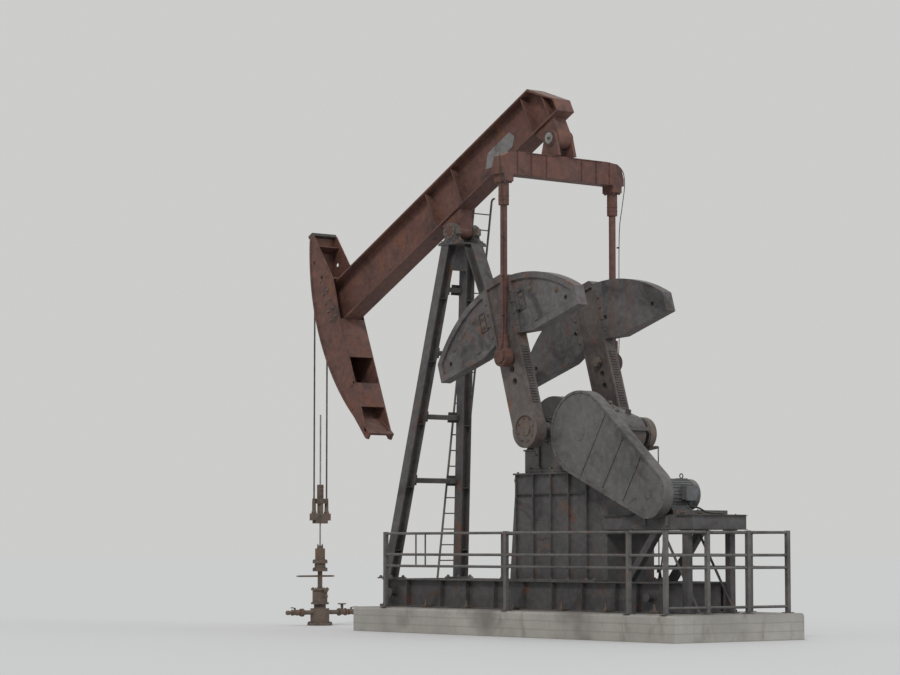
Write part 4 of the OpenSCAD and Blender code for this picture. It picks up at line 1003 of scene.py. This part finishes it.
def crank_fittings():
    bolts = Kit()
    kit = Kit()
    teeth = Kit()
    pockets = Kit()
    floor = 1.115
    nut = [(0, 0.110), (0.012, 0.110), (0.012, 0.096), (0.056, 0.096), (0.062, 0.088)]
    for s in (-1, 1):
        bolts.bolt_ring((0, s * 1.130, 0), (0, s, 0), 0.205, 8, 0.022, CRANK)
        kit.lathe((0, s * 1.129, 0), (0, s, 0), [(0, 0.115), (0.012, 0.115), (0.018, 0.108)], 32, CRANK)
        kit.lathe((0, s * 0.865, CRANK_R), (0, s, 0), [(0, 0.050), (0.006, 0.062), (0.30, 0.062)], 28, CRANK)
        kit.lathe((0, s * 0.926, CRANK_R), (0, -s, 0), nut, 6, CRANK)
        for sx in (-1, 1):
            for a in (1.86, 2.08, 2.30, 2.50):
                for y, out in ((1.155, s), (0.935, -s)):
                    bolts.bolt((sx * 0.362, s * y, a), (0, out, 0), 0.026, CRANK)
            for x, z, d in ((0.83, 2.355, 0.052), (1.50, 2.070, 0.052), (0.844, 1.770, 0.046)):
                bolts.bolt((sx * x, s * floor, z), (0, s, 0), d, CRANK, 0.012)
            x0, x1 = span(sx, 0.500, 0.640)
            y0, y1 = span(s, floor - 0.002, floor + 0.018)
            for x in (x0 - 0.014, x1):
                pockets.block((x, y0, 2.060), (x + 0.014, y1, 2.410), CRANK, 0.003)
            for z in (2.060, 2.396):
                pockets.block((x0, y0, z), (x1, y1, z + 0.014), CRANK, 0.003)
            for z in (2.150, 2.320):
                bolts.bolt((sx * 0.570, s * floor, z), (0, s, 0), 0.044, CRANK, 0.012)
            for i in range(22):
                a = 0.42 + i * 0.050
                teeth.side_block(s, span(sx, 0.304, 0.322), (0.975, 1.115), (a - 0.013, a + 0.013), CRANK)
    bolts.piece("crank_bolts", "bolt", "crank")
    kit.piece("wrist_pin_nuts", "bolt", "crank")
    teeth.piece("crank_racks", "crank", "crank")
    pockets.piece("weight_pockets", "weight", "crank")


# Bridle and wellhead

def bridle():
    kit = Kit()
    low = 2.540
    steps = 230
    for s in (-1, 1):
        rope(kit, [(WELL_X, s * ROPE_Y, low + (SADDLE_Z - low) * i / steps) for i in range(steps + 1)])
    ropes = kit.piece("bridle_rope_strands", "rope", "frame")
    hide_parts("bridle_ropes")
    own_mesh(ropes)

    kit = Kit()
    for s in (-1, 1):
        y = s * ROPE_Y
        kit.lathe((WELL_X, y, 2.238), (0, 0, 1), [(0, 0.052), (0.040, 0.052), (0.050, 0.040), (0.24, 0.038),
                                                   (0.300, 0.027), (0.306, 0.022)], 24)
        kit.bolt((WELL_X, y, 2.100), (0, 0, -1), 0.030)
    for y in (-0.075, 0.075):
        for sx in (-1, 1):
            kit.bolt((WELL_X + sx * 0.070, y, 2.490), (sx, 0, 0), 0.024)
    for z in (2.62, 2.72, 2.80):
        for sx in (-1, 1):
            for y in (0.026, -0.026):
                kit.bolt((WELL_X + sx * 0.050, y, z - 0.02), (sx, 0, 0), 0.016)
    kit.piece("carrier_fittings", "well", "bridle")


def wellhead_fittings():
    kit = Kit()
    for i in range(12):
        dx, dy = polar(0.222, 2 * math.pi * i / 12)
        kit.bolt((WELL_X + dx, dy, 0.050), (0, 0, 1), 0.022)
    for i in range(8):
        dx, dy = polar(0.166, 2 * math.pi * (i + 0.5) / 8)
        for part, z in ((0.93, 0.740), (0.78, 1.140), (0.78, 1.300)):
            kit.bolt((WELL_X + dx * part, dy * part, z), (0, 0, 1), 0.016)
    for s in (-1, 1):
        kit.lathe((WELL_X, s * 0.055, 1.600 - 0.061), (0, 0, 1), [(0, 0.011), (0.09, 0.011)], 8)
    kit.bolt_ring((WELL_X, -0.420, 0.26), (0, 1, 0), 0.064, 6, 0.011)
    kit.piece("wellhead_bolts", "bolt", "frame")

    kit = Kit()
    for y in (-0.520, 0.300):
        kit.tube([(WELL_X - 0.07, y, 0.985), (WELL_X + 0.07, y, 0.985)], 0.013, 10)
    ring(kit, (WELL_X, 0.550, 0.426), (0, 0, 1), 0.074, 0.088, -0.008, 0.008, 32)
    for i in range(4):
        a = math.pi * i / 4
        d = Vector((math.cos(a), math.sin(a), 0)) * 0.078
        kit.tube([Vector((WELL_X, 0.550, 0.426)) - d, Vector((WELL_X, 0.550, 0.426)) + d], 0.006, 8)
    neck = [(0, 0.022), (0.10, 0.022), (0.10, 0.034), (0.13, 0.034)]
    kit.lathe((WELL_X + 0.10, 0.0, 0.58), (1, 0, 0), neck, 12)
    kit.lathe((WELL_X + 0.205, 0.0, 0.575), (0, 0, 1), [(0, 0.010), (0.09, 0.010)], 10)
    kit.lathe((WELL_X + 0.190, 0.0, 0.700), (1, 0, 0), [(0, 0.046), (0.032, 0.046), (0.036, 0.042)], 24)
    kit.piece("wellhead_handles", "well", "frame")

    kit = Kit()
    valve = [(0, 0.074), (0.026, 0.074), (0.026, 0.034), (0.090, 0.034), (0.090, 0.060), (0.112, 0.060),
             (0.124, 0.052), (0.196, 0.052), (0.208, 0.060), (0.230, 0.060), (0.230, 0.034), (0.300, 0.034),
             (0.300, 0.046), (0.350, 0.046), (0.362, 0.036)]
    stem = [(0, 0.020), (0.045, 0.020), (0.050, 0.014)]
    for s, start in ((-1, 0.455), (1, 0.620)):
        at = Vector((WELL_X, s * start, 0.26))
        kit.lathe(at, (0, s, 0), valve, 20)
        kit.lathe(at + Vector((0, s * 0.160, 0.045)), (0, 0, 1), stem, 12)
        kit.tube([at + Vector((0, s * 0.160, 0.088)), at + Vector((0.03, s * 0.205, 0.096)),
                  at + Vector((0.05, s * 0.290, 0.100))], 0.010, 8)
    kit.piece("wellhead_branches", "well", "frame")


# Crank guard

def fence_fittings():
    kit = Kit()
    bolts = Kit()
    posts = [(x, y) for x in (-0.5, 3.0, 6.2, 7.1) for y in (-1.42, 1.42)] + [(7.1, -0.4733), (7.1, 0.4733)]
    for x, y in posts:
        y0 = max(-1.497, y - 0.075)
        y1 = min(1.497, y + 0.075)
        kit.block((x - 0.075, y0, 0.449), (x + 0.075, y1, 0.461), bevel=0.002)
        for dx in (-0.056, 0.056):
            bolts.bolt((x + dx, y, 0.461), (0, 0, 1), 0.013)
        kit.block((x - 0.040, y - 0.040, 1.838), (x + 0.040, y + 0.040, 1.846), bevel=0.003)
    for s in (-1, 1):
        for x0, x1 in ((-0.465, 2.965), (3.035, 6.165), (6.235, 7.065)):
            for z in (1.816, 1.43, 1.22):
                for x, d in ((x0, 1), (x1, -1)):
                    kit.lathe((x, s * 1.42, z), (d, 0, 0), [(0, 0.031), (0.030, 0.031), (0.034, 0.027)], 16)
    for x in (0.413, 0.692):
        kit.lathe((x, -1.42, 1.215), (0, 0, 1), [(0, 0.015), (0.605, 0.015)], 12)
    kit.piece("guard_feet_and_collars", "guard", "frame")
    bolts.piece("guard_foot_bolts", "bolt", "frame")


skid_fittings()
pedestal_fittings()
gearbox_fittings()
brake()
guard_fittings()
motor_fittings()
post_fittings()
ladder_fittings()
beam_fittings()
equalizer_fittings()
crank_fittings()
bridle()
wellhead_fittings()
fence_fittings()


# Floor and light

PALE = (0.62, 0.62, 0.61)


def stage():
    mat = bpy.data.materials.new("floor")
    mat.use_nodes = True
    bsdf = mat.node_tree.nodes["Principled BSDF"]
    bsdf.inputs["Base Color"].default_value = (*PALE, 1)
    bsdf.inputs["Roughness"].default_value = 1.0
    bsdf.inputs["Specular IOR Level"].default_value = 0.0
    r = 400
    mesh = bpy.data.meshes.new("floor")
    mesh.from_pydata([(-r, -r, 0), (r, -r, 0), (r, r, 0), (-r, r, 0)], [], [[0, 1, 2, 3]])
    mesh.materials.append(mat)
    floor = bpy.data.objects.new("floor", mesh)
    bpy.context.scene.collection.objects.link(floor)
    floor.location.z = -0.002

    world = bpy.data.worlds.new("studio")
    bpy.context.scene.world = world
    world.use_nodes = True
    tree = world.node_tree
    sky = tree.nodes["Background"]
    sky.inputs["Color"].default_value = (0.93, 0.96, 1.0, 1)
    sky.inputs["Strength"].default_value = 0.575
    seen = tree.nodes.new("ShaderNodeBackground")
    seen.inputs["Color"].default_value = (*PALE, 1)
    seen.inputs["Strength"].default_value = 0.98
    path = tree.nodes.new("ShaderNodeLightPath")
    blend = tree.nodes.new("ShaderNodeMixShader")
    tree.links.new(path.outputs["Is Camera Ray"], blend.inputs[0])
    tree.links.new(sky.outputs[0], blend.inputs[1])
    tree.links.new(seen.outputs[0], blend.inputs[2])
    tree.links.new(blend.outputs[0], tree.nodes["World Output"].inputs["Surface"])

    for name, at, power, width, colour in (
        ("key", (22, -30, 34), 1.35, 14, (1.0, 0.975, 0.94)),
        ("fill", (34, 16, 20), 0.63, 40, (0.94, 0.97, 1.0)),
        ("back", (-24, 16, 22), 0.52, 30, (1.0, 0.98, 0.95)),
    ):
        data = bpy.data.lights.new(name, "SUN")
        data.energy = power
        data.angle = math.radians(width)
        data.color = colour
        lamp = bpy.data.objects.new(name, data)
        lamp.location = at
        lamp.rotation_euler = (Vector((1, 0, 4)) - Vector(at)).to_track_quat("-Z", "Y").to_euler()
        bpy.context.scene.collection.objects.link(lamp)

    bpy.context.scene.view_settings.view_transform = "Standard"


stage()
